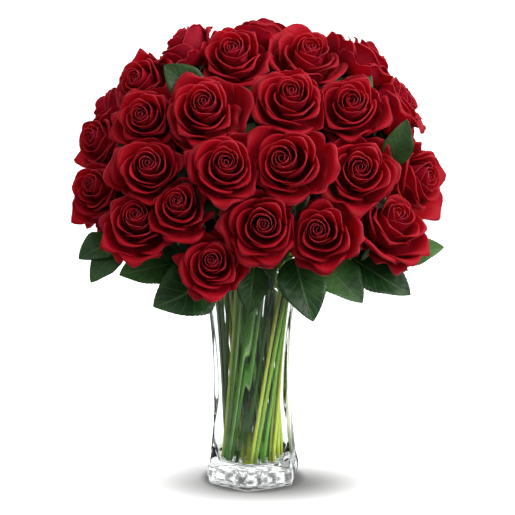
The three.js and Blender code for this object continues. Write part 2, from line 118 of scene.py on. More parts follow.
def smooth_profile(heights: Sequence[float], radii: Sequence[float], at: Array) -> Array:
    """A radius run smoothly through given ones: in each span a cubic that meets mean slopes at its ends.

    Args:
        heights: Rising heights.
        radii: The radius at each.
        at: The heights to read.

    Returns:
        The radius at each height read.
    """
    z, r = np.array(heights, float), np.array(radii, float)
    slope = np.gradient(r, z)
    i = np.clip(np.searchsorted(z, at) - 1, 0, len(z) - 2)
    span = z[i + 1] - z[i]
    t = (at - z[i]) / span
    return (
        (1 + 2 * t) * (1 - t) ** 2 * r[i]
        + t * (1 - t) ** 2 * span * slope[i]
        + t * t * (3 - 2 * t) * r[i + 1]
        + t * t * (t - 1) * span * slope[i + 1]
    )


# Meshes


class Shell:
    """Surfaces gathered into one mesh, with numbers for each point that the finishes read."""

    MARKS = ("across", "along", "tone", "back", "layer")

    def __init__(self) -> None:
        """An empty shell."""
        self.points: list[Array] = []
        self.faces: list[Array] = []
        self.slots: list[Array] = []
        self.marks: dict[str, list[Array]] = {name: [] for name in self.MARKS}
        self.count = 0

    def _take(self, points: Array, faces: Sequence[Array], slot: int, marks: dict[str, Any]) -> None:
        """Adds points with their faces and marks.

        Args:
            points: Of any leading shape, with a last axis of three.
            faces: Blocks of faces, whose corners count from zero among the points.
            slot: The material slot of the faces.
            marks: Numbers for the points, each of any shape that spreads to theirs. One left out is zero.
        """
        shape = points.shape[:-1]
        self.points.append(points.reshape(-1, 3))
        for block in faces:
            self.faces.append(block + self.count)
            self.slots.append(np.full(len(block), slot))
        for name in self.MARKS:
            self.marks[name].append(np.broadcast_to(marks.get(name, 0.0), shape).reshape(-1))
        self.count += self.points[-1].shape[0]

    def tube(self, points: Array, slot: int = 0, **marks: Any) -> None:
        """Adds a grid of rings, round and closed, with a flat cap at each end.

        Args:
            points: Rings by sides by three, each ring turning left round the way the rings go.
            slot: The material slot.
            marks: Numbers for the points, of any shape that spreads to rings by sides.
        """
        rings, sides = points.shape[:2]
        index = np.arange(rings * sides).reshape(rings, sides)
        after = np.roll(index, -1, axis=1)
        walls = np.stack([index[:-1], after[:-1], after[1:], index[1:]], axis=-1).reshape(-1, 4)
        self._take(points, [walls, index[:1, ::-1], index[-1:]], slot, marks)

    def sheets(self, outer: Array, inner: Array, slot: int = 0, **marks: Any) -> None:
        """Adds thin closed sheets, each a front and a back grid joined round the edge.

        Args:
            outer: Sheets by rows by columns by three, on the side that columns cross rows points to.
            inner: The other side of the same sheets.
            slot: The material slot.
            marks: Numbers for the points, of any shape that spreads to sheets by two sides by rows by
                columns.
        """
        sheets, rows, columns = outer.shape[:3]
        size = rows * columns
        index = np.arange(size).reshape(rows, columns)
        corners = [index[:-1, :-1], index[:-1, 1:], index[1:, 1:], index[1:, :-1]]
        front = np.stack(corners, axis=-1).reshape(-1, 4)
        edge = np.concatenate([index[0, :-1], index[:-1, -1], index[-1, :0:-1], index[:0:-1, 0]])
        after = np.roll(edge, -1)
        rim = np.stack([after, edge, edge + size, after + size], axis=-1)
        one = np.concatenate([front, front[:, ::-1] + size, rim])
        every = (one[None] + (np.arange(sheets) * 2 * size)[:, None, None]).reshape(-1, 4)
        self._take(np.stack([outer, inner], axis=1), [every], slot, marks)

    def make(self, name: str, materials: Sequence[bpy.types.Material]) -> bpy.types.Object:
        """The gathered surfaces as one smooth object.

        Args:
            name: The object's name.
            materials: One for each slot.

        Returns:
            The object, linked to the scene.
        """
        mesh = bpy.data.meshes.new(name)
        points = np.concatenate(self.points)
        corners = np.concatenate([block.reshape(-1) for block in self.faces])
        totals = np.concatenate([np.full(len(block), block.shape[1]) for block in self.faces])
        mesh.vertices.add(len(points))
        mesh.vertices.foreach_set("co", points.astype(np.float32).ravel())
        mesh.loops.add(len(corners))
        mesh.loops.foreach_set("vertex_index", corners.astype(np.int32))
        mesh.polygons.add(len(totals))
        mesh.polygons.foreach_set("loop_start", (np.cumsum(totals) - totals).astype(np.int32))
        for material in materials:
            mesh.materials.append(material)
        mesh.polygons.foreach_set("material_index", np.concatenate(self.slots).astype(np.int32))
        mesh.polygons.foreach_set("use_smooth", np.ones(len(totals), bool))
        for mark, blocks in self.marks.items():
            layer = mesh.attributes.new(mark, "FLOAT", "POINT")
            layer.data.foreach_set("value", np.concatenate(blocks).astype(np.float32))
        mesh.update(calc_edges=True)
        mesh.validate()
        return placed(name, mesh)


def rings_along(path: Array, radii: Array, sides: int, beside: Array) -> Array:
    """Rings round a path: at each point a circle square to the way the path goes.

    Args:
        path: Points along it.
        radii: The radius at each point, or one for each side too.
        sides: Points in a ring.
        beside: A direction that the path never follows, which fixes where each ring starts.

    Returns:
        Points by sides by three.
    """
    along = unit(np.gradient(path, axis=0))
    u = square_to(along, np.broadcast_to(beside, along.shape))
    v = np.cross(along, u)
    angle = np.arange(sides) / sides * 2 * math.pi
    circle = np.cos(angle)[None, :, None] * u[:, None] + np.sin(angle)[None, :, None] * v[:, None]
    return path[:, None] + np.reshape(radii, (len(path), -1, 1)) * circle


def thickened(middle: Array, thickness: Array | float) -> tuple[Array, Array]:
    """Both sides of a sheet: its middle moved half a thickness along its normals each way.

    Args:
        middle: Sheets by rows by columns by three.
        thickness: A number, or one for each point.

    Returns:
        The side that columns cross rows points to, and the other.
    """
    normal = unit(np.cross(np.gradient(middle, axis=2), np.gradient(middle, axis=1)))
    half = normal * np.broadcast_to(thickness, middle.shape[:-1])[..., None] / 2
    return middle + half, middle - half


def placed(name: str, data: bpy.types.ID) -> bpy.types.Object:
    """Makes an object in the scene.

    Args:
        name: Its name.
        data: The mesh, light or camera that it shows.

    Returns:
        The object.
    """
    made = bpy.data.objects.new(name, data)
    bpy.context.scene.collection.objects.link(made)
    return made


def tie_to_frame(made: bpy.types.Object, node: str) -> None:
    """Ties a finished piece to the frame, and reports it.

    Args:
        made: The piece.
        node: The node that it stands for.
    """
    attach(made, BODY)
    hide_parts(node)
    log.info("%s: %d faces, in place of %s", made.name, len(made.data.polygons), node)


# Shader nodes


class Shade:
    """A socket with arithmetic. An expression on it adds the Math nodes that work it out."""

    def __init__(self, nodes: "Nodes", socket: bpy.types.NodeSocket) -> None:
        """Wraps an output socket of a tree."""
        self.nodes = nodes
        self.socket = socket

    def _math(self, operation: str, *values: Any) -> "Shade":
        """A Math node on values or sockets."""
        return self.nodes.add("ShaderNodeMath", {"operation": operation}, dict(enumerate(values)))

    def __add__(self, other: Any) -> "Shade":
        """The sum."""
        return self._math("ADD", self, other)

    __radd__ = __add__

    def __sub__(self, other: Any) -> "Shade":
        """The difference."""
        return self._math("SUBTRACT", self, other)

    def __rsub__(self, other: Any) -> "Shade":
        """The difference from a value."""
        return self._math("SUBTRACT", other, self)

    def __mul__(self, other: Any) -> "Shade":
        """The product."""
        return self._math("MULTIPLY", self, other)

    __rmul__ = __mul__

    def size(self) -> "Shade":
        """The value without its sign."""
        return self._math("ABSOLUTE", self)

    def part(self) -> "Shade":
        """What is left over a whole number."""
        return self._math("FRACT", self)

    def swing(self, size: float) -> "Shade":
        """A value from 0 to 1 turned to one that swings round 0, by the size from end to end."""
        return (self - 0.5) * size

    def step(self, low: float, high: float) -> "Shade":
        """A smooth step from 0 to 1.

        Args:
            low: Where it leaves 0.
            high: Where it meets 1. Below low, the step falls as the value grows.

        Returns:
            The stepped value.
        """
        ends = {"Value": self, "From Min": low, "From Max": high, "To Min": 0.0, "To Max": 1.0}
        if high < low:
            ends |= {"From Min": high, "From Max": low, "To Min": 1.0, "To Max": 0.0}
        return self.nodes.add("ShaderNodeMapRange", {"interpolation_type": "SMOOTHSTEP"}, ends)


class Nodes:
    """One material's or world's tree of nodes."""

    # A Mix node has sockets of one name for numbers and for colours, so those for colours go by number.
    COLOUR_A, COLOUR_B, COLOUR_OUT = 6, 7, 2

    def __init__(self, owner: bpy.types.Material | bpy.types.World) -> None:
        """Empties the owner's tree."""
        owner.use_nodes = True
        self.tree = owner.node_tree
        self.tree.nodes.clear()

    def add(self, kind: str, settings: dict[str, Any], inputs: dict[Any, Any], out: int | str = 0) -> Shade:
        """Adds a node.

        Args:
            kind: The node's type.
            settings: Its own settings, set first.
            inputs: A value or a Shade for each socket, by name or number.
            out: The output that is returned.

        Returns:
            That output.
        """
        node = self.tree.nodes.new(kind)
        for key, value in settings.items():
            setattr(node, key, value)
        for key, value in inputs.items():
            if isinstance(value, Shade):
                self.tree.links.new(value.socket, node.inputs[key])
            else:
                node.inputs[key].default_value = value
        return Shade(self, node.outputs[out])

    def marks(self) -> tuple[Shade, ...]:
        """The numbers that a mesh holds for each point, in the order of Shell.MARKS."""
        kind = "ShaderNodeAttribute"
        return tuple(self.add(kind, {"attribute_name": name}, {}, "Fac") for name in Shell.MARKS)

    def place(self) -> Shade:
        """The point in the object's own metres."""
        return self.add("ShaderNodeTexCoord", {}, {}, "Object")

    def ray(self, kind: str) -> Shade:
        """1 for rays of one kind and 0 for the others."""
        return self.add("ShaderNodeLightPath", {}, {}, f"Is {kind} Ray")

    def vector(self, x: Any, y: Any, z: Any = 0.0) -> Shade:
        """Three numbers as a vector."""
        return self.add("ShaderNodeCombineXYZ", {}, {0: x, 1: y, 2: z})

    def vector_math(self, operation: str, a: Any, b: Any) -> Shade:
        """A Vector Math node on two vectors."""
        return self.add("ShaderNodeVectorMath", {"operation": operation}, {0: a, 1: b})

    def length(self, vector: Shade) -> Shade:
        """How long a vector is."""
        return self.add("ShaderNodeVectorMath", {"operation": "LENGTH"}, {0: vector}, "Value")

    def axis(self, vector: Shade, name: str) -> Shade:
        """One of the three numbers of a vector."""
        return self.add("ShaderNodeSeparateXYZ", {}, {0: vector}, name)

    def grain(self, marks: Sequence[Shade], scales: Sequence[float]) -> Shade:
        """A vector of marks times scales, on which a noise follows the surface and is stretched."""
        return self.vector(*(mark * scale for mark, scale in zip(marks, scales)))

    def noise(self, at: Shade, scale: float, detail: float = 2.0, roughness: float = 0.5) -> Shade:
        """Cloudy noise from 0 to 1 round a half."""
        values = {"Vector": at, "Scale": scale, "Detail": detail, "Roughness": roughness}
        return self.add("ShaderNodeTexNoise", {}, values, "Fac")

    def mix(self, share: Any, a: Any, b: Any) -> Shade:
        """Colour a turned to colour b by a share."""
        colours = {0: share, self.COLOUR_A: a, self.COLOUR_B: b}
        return self.add("ShaderNodeMix", {"data_type": "RGBA"}, colours, self.COLOUR_OUT)

    def dimmed(self, colour: Any, share: Any) -> Shade:
        """A colour times a number."""
        vector = colour[:3] if isinstance(colour, tuple) else colour
        return self.add("ShaderNodeVectorMath", {"operation": "SCALE"}, {0: vector, "Scale": share})

    def bump(self, height: Shade, strength: float, distance: float) -> Shade:
        """A normal bent by a height."""
        inputs = {"Height": height, "Strength": strength, "Distance": distance}
        return self.add("ShaderNodeBump", {}, inputs)

    def principled(self, **inputs: Any) -> Shade:
        """A Principled shader; each keyword is a socket's name with _ for a space."""
        sockets = {name.replace("_", " "): value for name, value in inputs.items()}
        return self.add("ShaderNodeBsdfPrincipled", {}, sockets)

    def surface(self, shader: Shade) -> None:
        """Gives the shader to the output."""
        self.add_output("ShaderNodeOutputMaterial", shader)

    def add_output(self, kind: str, shader: Shade) -> None:
        """Adds an output node that takes the shader."""
        node = self.tree.nodes.new(kind)
        self.tree.links.new(shader.socket, node.inputs["Surface"])


def grey(value: float) -> Colour:
    """A neutral colour."""
    return (value, value, value, 1.0)


# Finishes


# In a finish a pair is the start and the end of a smooth step, but a brightness is its least and what a
# noise adds, a noise is its scale, detail and roughness, and a grain is the scales by which marks stretch a
# noise. The marks say how far across a surface a point lies, from -1 to 1, how far along it, the tone that
# each petal, leaf or stem drew, if it is the back, and its layer: how far out in its bloom a petal is, and
# how dark the painted shade on a leaf is.


@dataclass(frozen=True)
class PetalFinish:
    """Velvet red petals: painted shade towards the base, a pale painted highlight along the rim, a duller
    back, fine veins and bruised tips.
    """

    face: Colour = (0.315, 0.0035, 0.011, 1.0)
    heart: Colour = (0.27, 0.002, 0.007, 1.0)
    # The painted shade towards the foot of each petal.
    deep: Colour = (0.165, 0.001, 0.007, 1.0)
    back: Colour = (0.29, 0.003, 0.016, 1.0)
    # The pale painted highlight along the rim.
    rim: Colour = (0.68, 0.06, 0.1, 1.0)
    bruise: Colour = (0.03, 0.0, 0.004, 1.0)
    sheen_tint: Colour = (1.0, 0.25, 0.32, 1.0)
    vein_grain: Triple = (5.0, 0.9, 31.0)
    vein_noise: Triple = (7.0, 4.0, 0.6)
    cloud_grain: Triple = (1.1, 1.6, 17.0)
    cloud_scale: float = 1.6
    spot_grain: Pair = (2.3, 23.0)
    spot_scale: float = 2.0
    heart_to_face: Pair = (0.15, 0.75)
    brightness: float = 0.82
    tone_gain: float = 0.3
    vein_swing: float = 0.35
    cloud_swing: float = 0.3
    deep_to_lit: Pair = (0.08, 0.52)
    deep_swing: float = 0.16
    rim_highlight_and_spot_band: Pair = (0.965, 1.0)
    rim_highlight_swing: float = 0.04
    rim_highlight_share: float = 0.75
    spot_size: Pair = (0.64, 0.76)
    spot_share: float = 0.7
    tip_width: Pair = (0.24, 0.04)
    tip_band: Pair = (0.93, 1.0)
    tip_tones: Pair = (0.35, 0.7)
    tip_share: float = 0.75
    bruised_layers: Pair = (0.6, 0.85)
    roughness: float = 0.5
    back_roughness: float = 0.14
    vein_roughness: float = 0.12

    def material(self) -> bpy.types.Material:
        """Makes the material.

        The heart's red turns to the face's, with painted shade towards the foot, a painted highlight on the
        rim, and bruises.

        Returns:
            The material.
        """
        made = bpy.data.materials.new("rose petal")
        n = Nodes(made)
        across, along, tone, back, layer = n.marks()
        veins = n.noise(n.grain((across, along, tone), self.vein_grain), *self.vein_noise)
        cloud = n.noise(n.grain((across, along, tone), self.cloud_grain), self.cloud_scale)
        spots = n.noise(n.grain((across, tone), self.spot_grain), self.spot_scale).step(*self.spot_size)
        lit = n.mix(layer.step(*self.heart_to_face), self.heart, self.face)
        lit = n.mix(back, lit, self.back)
        light = self.brightness + tone * self.tone_gain
        lit = n.dimmed(lit, light + veins.swing(self.vein_swing) + cloud.swing(self.cloud_swing))
        # Painted shade: the colour darkens towards the foot of each petal, down in the cup.
        reach = along + cloud.swing(self.deep_swing)
        colour = n.mix(reach.step(*self.deep_to_lit), self.deep, lit)
        # Painted highlight: a pale line along the rim. The same band also holds the bruised spots.
        edge = (along + veins.swing(self.rim_highlight_swing)).step(*self.rim_highlight_and_spot_band)
        colour = n.mix(edge * self.rim_highlight_share, colour, self.rim)
        spotted = spots * along.step(*self.rim_highlight_and_spot_band) * self.spot_share
        tip = across.size().step(*self.tip_width) * along.step(*self.tip_band) * tone.step(*self.tip_tones)
        bruised = (spotted + tip * self.tip_share) * layer.step(*self.bruised_layers)
        shader = n.principled(
            Base_Color=n.mix(bruised, colour, self.bruise),
            Roughness=self.roughness + back * self.back_roughness + veins.swing(self.vein_roughness),
            Specular_IOR_Level=0.09,
            Sheen_Weight=0.025,
            Sheen_Roughness=0.38,
            Sheen_Tint=self.sheen_tint,
            Subsurface_Weight=0.3,
            Subsurface_Radius=(1.0, 0.05, 0.05),
            Subsurface_Scale=0.004,
            Normal=n.bump(veins, strength=0.25, distance=0.0006),
        )
        n.surface(shader)
        return made


@dataclass(frozen=True)
class LeafFinish:
    """Rose leaves: dark upper face with paler ribs and a greyer back, with a soft sheen."""

    face: Colour = (0.01, 0.046, 0.01, 1.0)
    light: Colour = (0.085, 0.2, 0.05, 1.0)
    rib: Colour = (0.075, 0.15, 0.05, 1.0)
    back: Colour = (0.045, 0.1, 0.05, 1.0)
    rib_bend: float = 0.12
    rib_width: Pair = (0.1, 0.01)
    rib_ends: Pair = (1.0, 0.7)
    midrib_width: Pair = (0.07, 0.02)
    rib_share: float = 0.4
    midrib_share: float = 0.7
    back_midrib_share: float = 0.5
    net_noise: Triple = (420.0, 3.0, 0.6)
    cloud_noise: Pair = (26.0, 2.0)
    cloud_swing: float = 1.4
    tone_gain: float = 0.85
    least_light: float = -0.05
    face_brightness: Pair = (0.85, 0.3)
    back_brightness: Pair = (0.75, 0.5)
    painted_shade_depth: float = 0.86
    net_relief: float = 0.3
    rib_relief: float = 0.9
    midrib_relief: float = 1.3
    quilt_relief: float = 0.8
    roughness: float = 0.34
    back_roughness: float = 0.25
    net_roughness: float = 0.14

    def material(self) -> bpy.types.Material:
        """Makes the material.

        The ribs are where a saw wave along the leaf, slanted by the distance across, comes to a half.

        Returns:
            The material.
        """
        made = bpy.data.materials.new("rose leaf")
        n = Nodes(made)
        across, along, tone, back, layer = n.marks()
        side = across.size()
        phase = ((along - side * LEAF_SLANT + side * side * self.rib_bend) * LEAF_RIBS).part()
        off_rib = (phase - 0.5).size()
        rib = off_rib.step(*self.rib_width) * side.step(*self.rib_ends)
        midrib = side.step(*self.midrib_width)
        net = n.noise(n.place(), *self.net_noise)
        cloud = n.noise(n.place(), *self.cloud_noise)
        light = cloud.swing(self.cloud_swing) + tone * self.tone_gain + self.least_light
        face = n.mix(light, self.face, self.light)
        face = n.dimmed(face, self.face_brightness[0] + net * self.face_brightness[1])
        face = n.mix(rib * self.rib_share, face, self.rib)
        face = n.mix(midrib * self.midrib_share, face, self.rib)
        under = n.dimmed(self.back, self.back_brightness[0] + net * self.back_brightness[1])
        under = n.mix(midrib * self.back_midrib_share, under, self.rib)
        relief = net * self.net_relief - rib * self.rib_relief - midrib * self.midrib_relief
        shader = n.principled(
            # Painted shade: each leaf's colour is darkened by its layer, how far in the shade it stands.
            Base_Color=n.dimmed(n.mix(back, face, under), 1.0 - layer * self.painted_shade_depth),
            Roughness=self.roughness + back * self.back_roughness + net * self.net_roughness,
            Specular_IOR_Level=0.34,
            Normal=n.bump(relief + off_rib * self.quilt_relief, strength=0.45, distance=0.0007),
        )
        n.surface(shader)
        return made


@dataclass(frozen=True)
class StemFinish:
    """Fresh stems from dark to yellowish green, with long streaks, small dots and reddish nodes.

    Painted shade makes a dark stripe up one side of each, and a painted highlight a pale one as far round the
    other way.
    """

    dark: Colour = (0.03, 0.1, 0.01, 1.0)
    fresh: Colour = (0.19, 0.56, 0.07, 1.0)
    bright: Colour = (0.78, 0.88, 0.1, 1.0)
    ruddy: Colour = (0.13, 0.1, 0.03, 1.0)
    # The colour of the painted highlight stripe.
    pale: Colour = (0.72, 0.88, 0.5, 1.0)
    dot: Colour = (0.4, 0.42, 0.2, 1.0)
    streak_grain: Triple = (3.0, 2.0, 19.0)
    streak_noise: Pair = (6.0, 3.0)
    node_grain: Pair = (5.0, 29.0)
    node_scale: float = 1.4
    dot_noise: Pair = (900.0, 1.0)
    dot_size: Pair = (0.68, 0.76)
    dot_share: float = 0.4
    streak_swing: float = 0.4
    dark_to_fresh: Pair = (0.08, 0.5)
    fresh_to_bright: Pair = (0.55, 0.92)
    node_length: Pair = (0.56, 0.8)
    node_share: float = 0.5
    thorn_share: float = 0.8
    round_to_side: float = 0.4
    shade_stripe_width: Pair = (0.42, 0.1)
    shade_stripe_depth: float = 0.65
    highlight_stripe_width: Pair = (0.2, 0.02)
    highlight_stripe_swing: float = 0.2
    highlight_stripe_share: float = 0.55
    roughness: float = 0.38
    streak_roughness: float = 0.2

    def material(self) -> bpy.types.Material:
        """Makes the material.

        The drawn tone picks the green, and the distance round from each side places the painted shade and the
        painted highlight.

        Returns:
            The material.
        """
        made = bpy.data.materials.new("rose stem")
        n = Nodes(made)
        across, along, tone, back, _ = n.marks()
        streaks = n.noise(n.grain((across, along, tone), self.streak_grain), *self.streak_noise)
        nodes = n.noise(n.grain((along, tone), self.node_grain), self.node_scale).step(*self.node_length)
        dots = n.noise(n.place(), *self.dot_noise).step(*self.dot_size)
        share = tone + streaks.swing(self.streak_swing)
        colour = n.mix(share.step(*self.dark_to_fresh), self.dark, self.fresh)
        colour = n.mix(share.step(*self.fresh_to_bright), colour, self.bright)
        colour = n.mix(nodes * self.node_share, colour, self.ruddy)
        colour = n.mix(back * self.thorn_share, colour, self.ruddy)
        colour = n.mix(dots * self.dot_share, colour, self.dot)
        # Painted shade: a dark stripe up one side of each stem.
        painted_shade_stripe = (across - self.round_to_side).size().step(*self.shade_stripe_width)
        colour = n.dimmed(colour, 1.0 - painted_shade_stripe * self.shade_stripe_depth)
        # Painted highlight: a pale stripe as far round the other way.
        off_highlight_stripe = across + self.round_to_side + streaks.swing(self.highlight_stripe_swing)
        painted_highlight_stripe = off_highlight_stripe.size().step(*self.highlight_stripe_width)
        shader = n.principled(
            Base_Color=n.mix(painted_highlight_stripe * self.highlight_stripe_share, colour, self.pale),
            Roughness=self.roughness + streaks * self.streak_roughness,
            Specular_IOR_Level=0.5,
            Normal=n.bump(streaks, strength=0.2, distance=0.0005),
        )
        n.surface(shader)
        return made


@dataclass(frozen=True)
class SepalFinish:
    """Hips and sepals: pale grey green with darker streaks and paler edges."""

    face: Colour = (0.1, 0.2, 0.06, 1.0)
    pale: Colour = (0.32, 0.42, 0.2, 1.0)
    down_grain: Triple = (4.0, 1.5, 13.0)
    down_noise: Pair = (5.0, 3.0)
    down_gain: float = 0.4
    tone_gain: float = 0.3
    edge: Pair = (0.6, 1.0)
    edge_gain: float = 0.4
    roughness: float = 0.62
    back_shine: float = 0.1

    def material(self) -> bpy.types.Material:
        """Makes the material.

        The streaks, the drawn tone and the edge add up to how pale it is.

        Returns:
            The material.
        """
        made = bpy.data.materials.new("rose calyx")
        n = Nodes(made)
        across, along, tone, back, _ = n.marks()
        down = n.noise(n.grain((across, along, tone), self.down_grain), *self.down_noise)
        edge = across.size().step(*self.edge) * self.edge_gain
        shader = n.principled(
            Base_Color=n.mix(down * self.down_gain + tone * self.tone_gain + edge, self.face, self.pale),
            Roughness=self.roughness - back * self.back_shine,
            Sheen_Weight=0.2,
            Normal=n.bump(down, strength=0.3, distance=0.0004),
        )
        n.surface(shader)
        return made


@dataclass(frozen=True)
class ClearFinish:
    """A clear body that bends light and lets the lamps through to what stands in it."""

    name: str
    tint: Colour
    ior: float
    ripple: float = 0.0
    ripple_noise: Pair = (22.0, 2.0)

    def material(self) -> bpy.types.Material:
        """Makes the material.

        Glass to every ray but those that look for the lamps, which it only tints.

        Returns:
            The material.
        """
        made = bpy.data.materials.new(self.name)
        n = Nodes(made)
        values: dict[str, Any] = {"Base_Color": self.tint, "Roughness": 0.0, "IOR": self.ior}
        if self.ripple:
            values["Normal"] = n.bump(n.noise(n.place(), *self.ripple_noise), self.ripple, distance=0.002)
        clear = n.principled(Transmission_Weight=1.0, **values)
        passing = n.add("ShaderNodeBsdfTransparent", {}, {"Color": self.tint})
        n.surface(n.add("ShaderNodeMixShader", {}, {0: n.ray("Shadow"), 1: clear, 2: passing}))
        return made


@dataclass(frozen=True)
class FloorFinish:
    """The plain white floor: lit from below like a light table, with a soft pool of painted shade round the
    foot.

    Seen directly it is white, but for the pool, which is flattened and lies a little to the front right,
    and a darker painted contact shadow right round the foot. What the glass bends or mirrors is white only in
    a wedge behind the vase, so that the glass gets dark edges, and under the foot it glows in spots of
    painted caustic light, such as light through pressed glass casts. Lengths are in metres.
    """

    white: float = 0.9
    shade: float = 0.15
    glow: float = 0.6
    # The painted pool of shade: its middle, how it is flattened, and its fade.
    pool_middle: Triple = (0.018, -0.022, 0.0)
    pool_flatness: Triple = (1.0, 1.7, 1.0)
    pool: Pair = (0.004, 0.21)
    # The painted contact shadow round the foot.
    painted_contact_shadow: Pair = (0.064, 0.05)
    contact_shadow_depth: float = 0.9
    # The painted caustic light under the foot: where it lies, its glow and its loss, and its noise.
    foot: Pair = (0.056, 0.044)
    painted_caustic_glow: float = 0.16
    caustic_fade: Pair = (0.01, 0.045)
    caustic_loss: float = 0.14
    caustic_noise: Triple = (90.0, 5.0, 0.65)
    patch_size: Pair = (0.42, 0.58)
    caustic_patch_glow: float = 0.72
    wedge_point: float = 2.0
    wedge_slope: float = 0.17
    wedge_edge: Pair = (0.12, 0.0)
    front: Pair = (0.05, 0.4)
    bent_front: Pair = (-0.12, 0.02)
    least: float = 0.03
    least_bent: float = 0.15
    least_scattered: float = 0.22

    def material(self) -> bpy.types.Material:
        """Makes the material.

        The distance from the middle of the pool of painted shade sets how white it is and how much it glows.

        Returns:
            The material.
        """
        made = bpy.data.materials.new("studio floor")
        n = Nodes(made)
        at = n.place()
        off = n.vector_math("SUBTRACT", at, self.pool_middle)
        reach = n.length(n.vector_math("MULTIPLY", off, self.pool_flatness))
        inner = n.length(at)
        across, ahead = n.axis(at, "X"), n.axis(at, "Y")
        seen, bent, scattered = n.ray("Camera"), n.ray("Transmission"), n.ray("Diffuse")
        past = across.size() - (ahead + self.wedge_point) * self.wedge_slope
        far, near = ahead.step(*self.front), ahead.step(*self.bent_front)
        wedge = past.step(*self.wedge_edge) * (far + bent * (near - far))
        lit = wedge + seen - wedge * seen
        least = scattered * self.least_scattered + bent * self.least_bent + self.least
        # Painted caustic light: spots of glow under the foot, which the glass shows.
        painted_caustic_patches = n.noise(at, *self.caustic_noise).step(*self.patch_size) * self.caustic_patch_glow
        # The painted caustic glow under the foot, a little less towards the edge of the foot.
        under = painted_caustic_patches + self.painted_caustic_glow - inner.step(*self.caustic_fade) * self.caustic_loss
        # Painted contact shadow: darker right round the foot, only where the camera sees the floor.
        painted_contact_shadow = inner.step(*self.painted_contact_shadow) * seen * self.contact_shadow_depth
        # The light: the painted pool of shade, cut by the painted contact shadow, with the painted caustic
        # glow under the foot added for rays that are not the camera's.
        light = reach.step(*self.pool) * (1 - painted_contact_shadow) + inner.step(*self.foot) * under * (1 - seen)
        white = (light * (1 - self.shade) + self.shade) * (lit * (1 - least) + least)
        shader = n.principled(
            Base_Color=n.dimmed(grey(self.white), white),
            Roughness=0.9,
            Specular_IOR_Level=0.1,
            Emission_Color=n.dimmed(grey(self.glow), light * lit),
            Emission_Strength=1.0,
        )
        n.surface(shader)
        return made


PRESSED_GLASS = ClearFinish("pressed glass", (0.97, 0.99, 0.985, 1.0), ior=1.5, ripple=0.05)
WATER = ClearFinish("water", (0.97, 0.995, 0.985, 1.0), ior=1.33)


@dataclass
class Finishes:
    """Every finish of the arrangement, each made once."""

    petal: bpy.types.Material = field(default_factory=PetalFinish().material)
    leaf: bpy.types.Material = field(default_factory=LeafFinish().material)
    stem: bpy.types.Material = field(default_factory=StemFinish().material)
    sepal: bpy.types.Material = field(default_factory=SepalFinish().material)
    glass: bpy.types.Material = field(default_factory=PRESSED_GLASS.material)
    water: bpy.types.Material = field(default_factory=WATER.material)


# Where the roses stand


@dataclass(frozen=True)
class Dome:
    """The dome that the blooms' faces lie on, in metres: half widths, and the height it springs from."""

    height: float = 0.325
    side: float = 0.196
    front: float = 0.168
    back: float = 0.115
    rise: float = 0.186

    def point(self, out: Array) -> Array:
        """The point on the dome along a direction."""
        depth = self.front if out[1] < 0 else self.back
        return np.array([out[0] * self.side, out[1] * depth, self.height + out[2] * self.rise])

    def share(self, point: Array) -> float:
        """How far out a point lies, where the dome itself is one."""
        depth = self.front if point[1] < 0 else self.back
        return float(np.linalg.norm((point - [0.0, 0.0, self.height]) / [self.side, depth, self.rise]))


DOME = Dome()


@dataclass(frozen=True)
class Rose:
    """A rose's place on the dome, how far out it stands, the way it faces, in degrees, and its size.

    The seat and the middle of the head lie the depths behind the face, in metres for a size of one.
    """

    azimuth: float
    elevation: float
    share: float
    face_azimuth: float
    face_elevation: float
    size: float
    face_depth: float = 0.045
    head_depth: float = 0.020

    @cached_property
    def axis(self) -> Array:
        """The way the bloom faces."""
        return direction(self.face_azimuth, self.face_elevation)

    @cached_property
    def u(self) -> Array:
        """Square to the axis, as near to upright as can be."""
        return square_to(self.axis, UP)

    @cached_property
    def v(self) -> Array:
        """Square to the other two."""
        return np.cross(self.axis, self.u)

    @cached_property
    def face(self) -> Array:
        """The middle of the bloom's face."""
        return DOME.point(direction(self.azimuth, self.elevation) * self.share)

    @property
    def seat(self) -> Array:
        """Where the petals start."""
        return self.face - self.axis * self.face_depth * self.size

    @property
    def head(self) -> Array:
        """The middle of the head."""
        return self.face - self.axis * self.head_depth * self.size

    def place(self, up: Array, left: Array, height: Array) -> Array:
        """Points from their distances, in metres, up and left on the face and along the axis from the seat.

        Args:
            up: Distances along u.
            left: Distances along v, of the same shape.
            height: Distances along the axis, of the same shape.

        Returns:
            The points, with a last axis of three.
        """
        level = up[..., None] * self.u + left[..., None] * self.v
        return self.seat + self.size * (level + height[..., None] * self.axis)


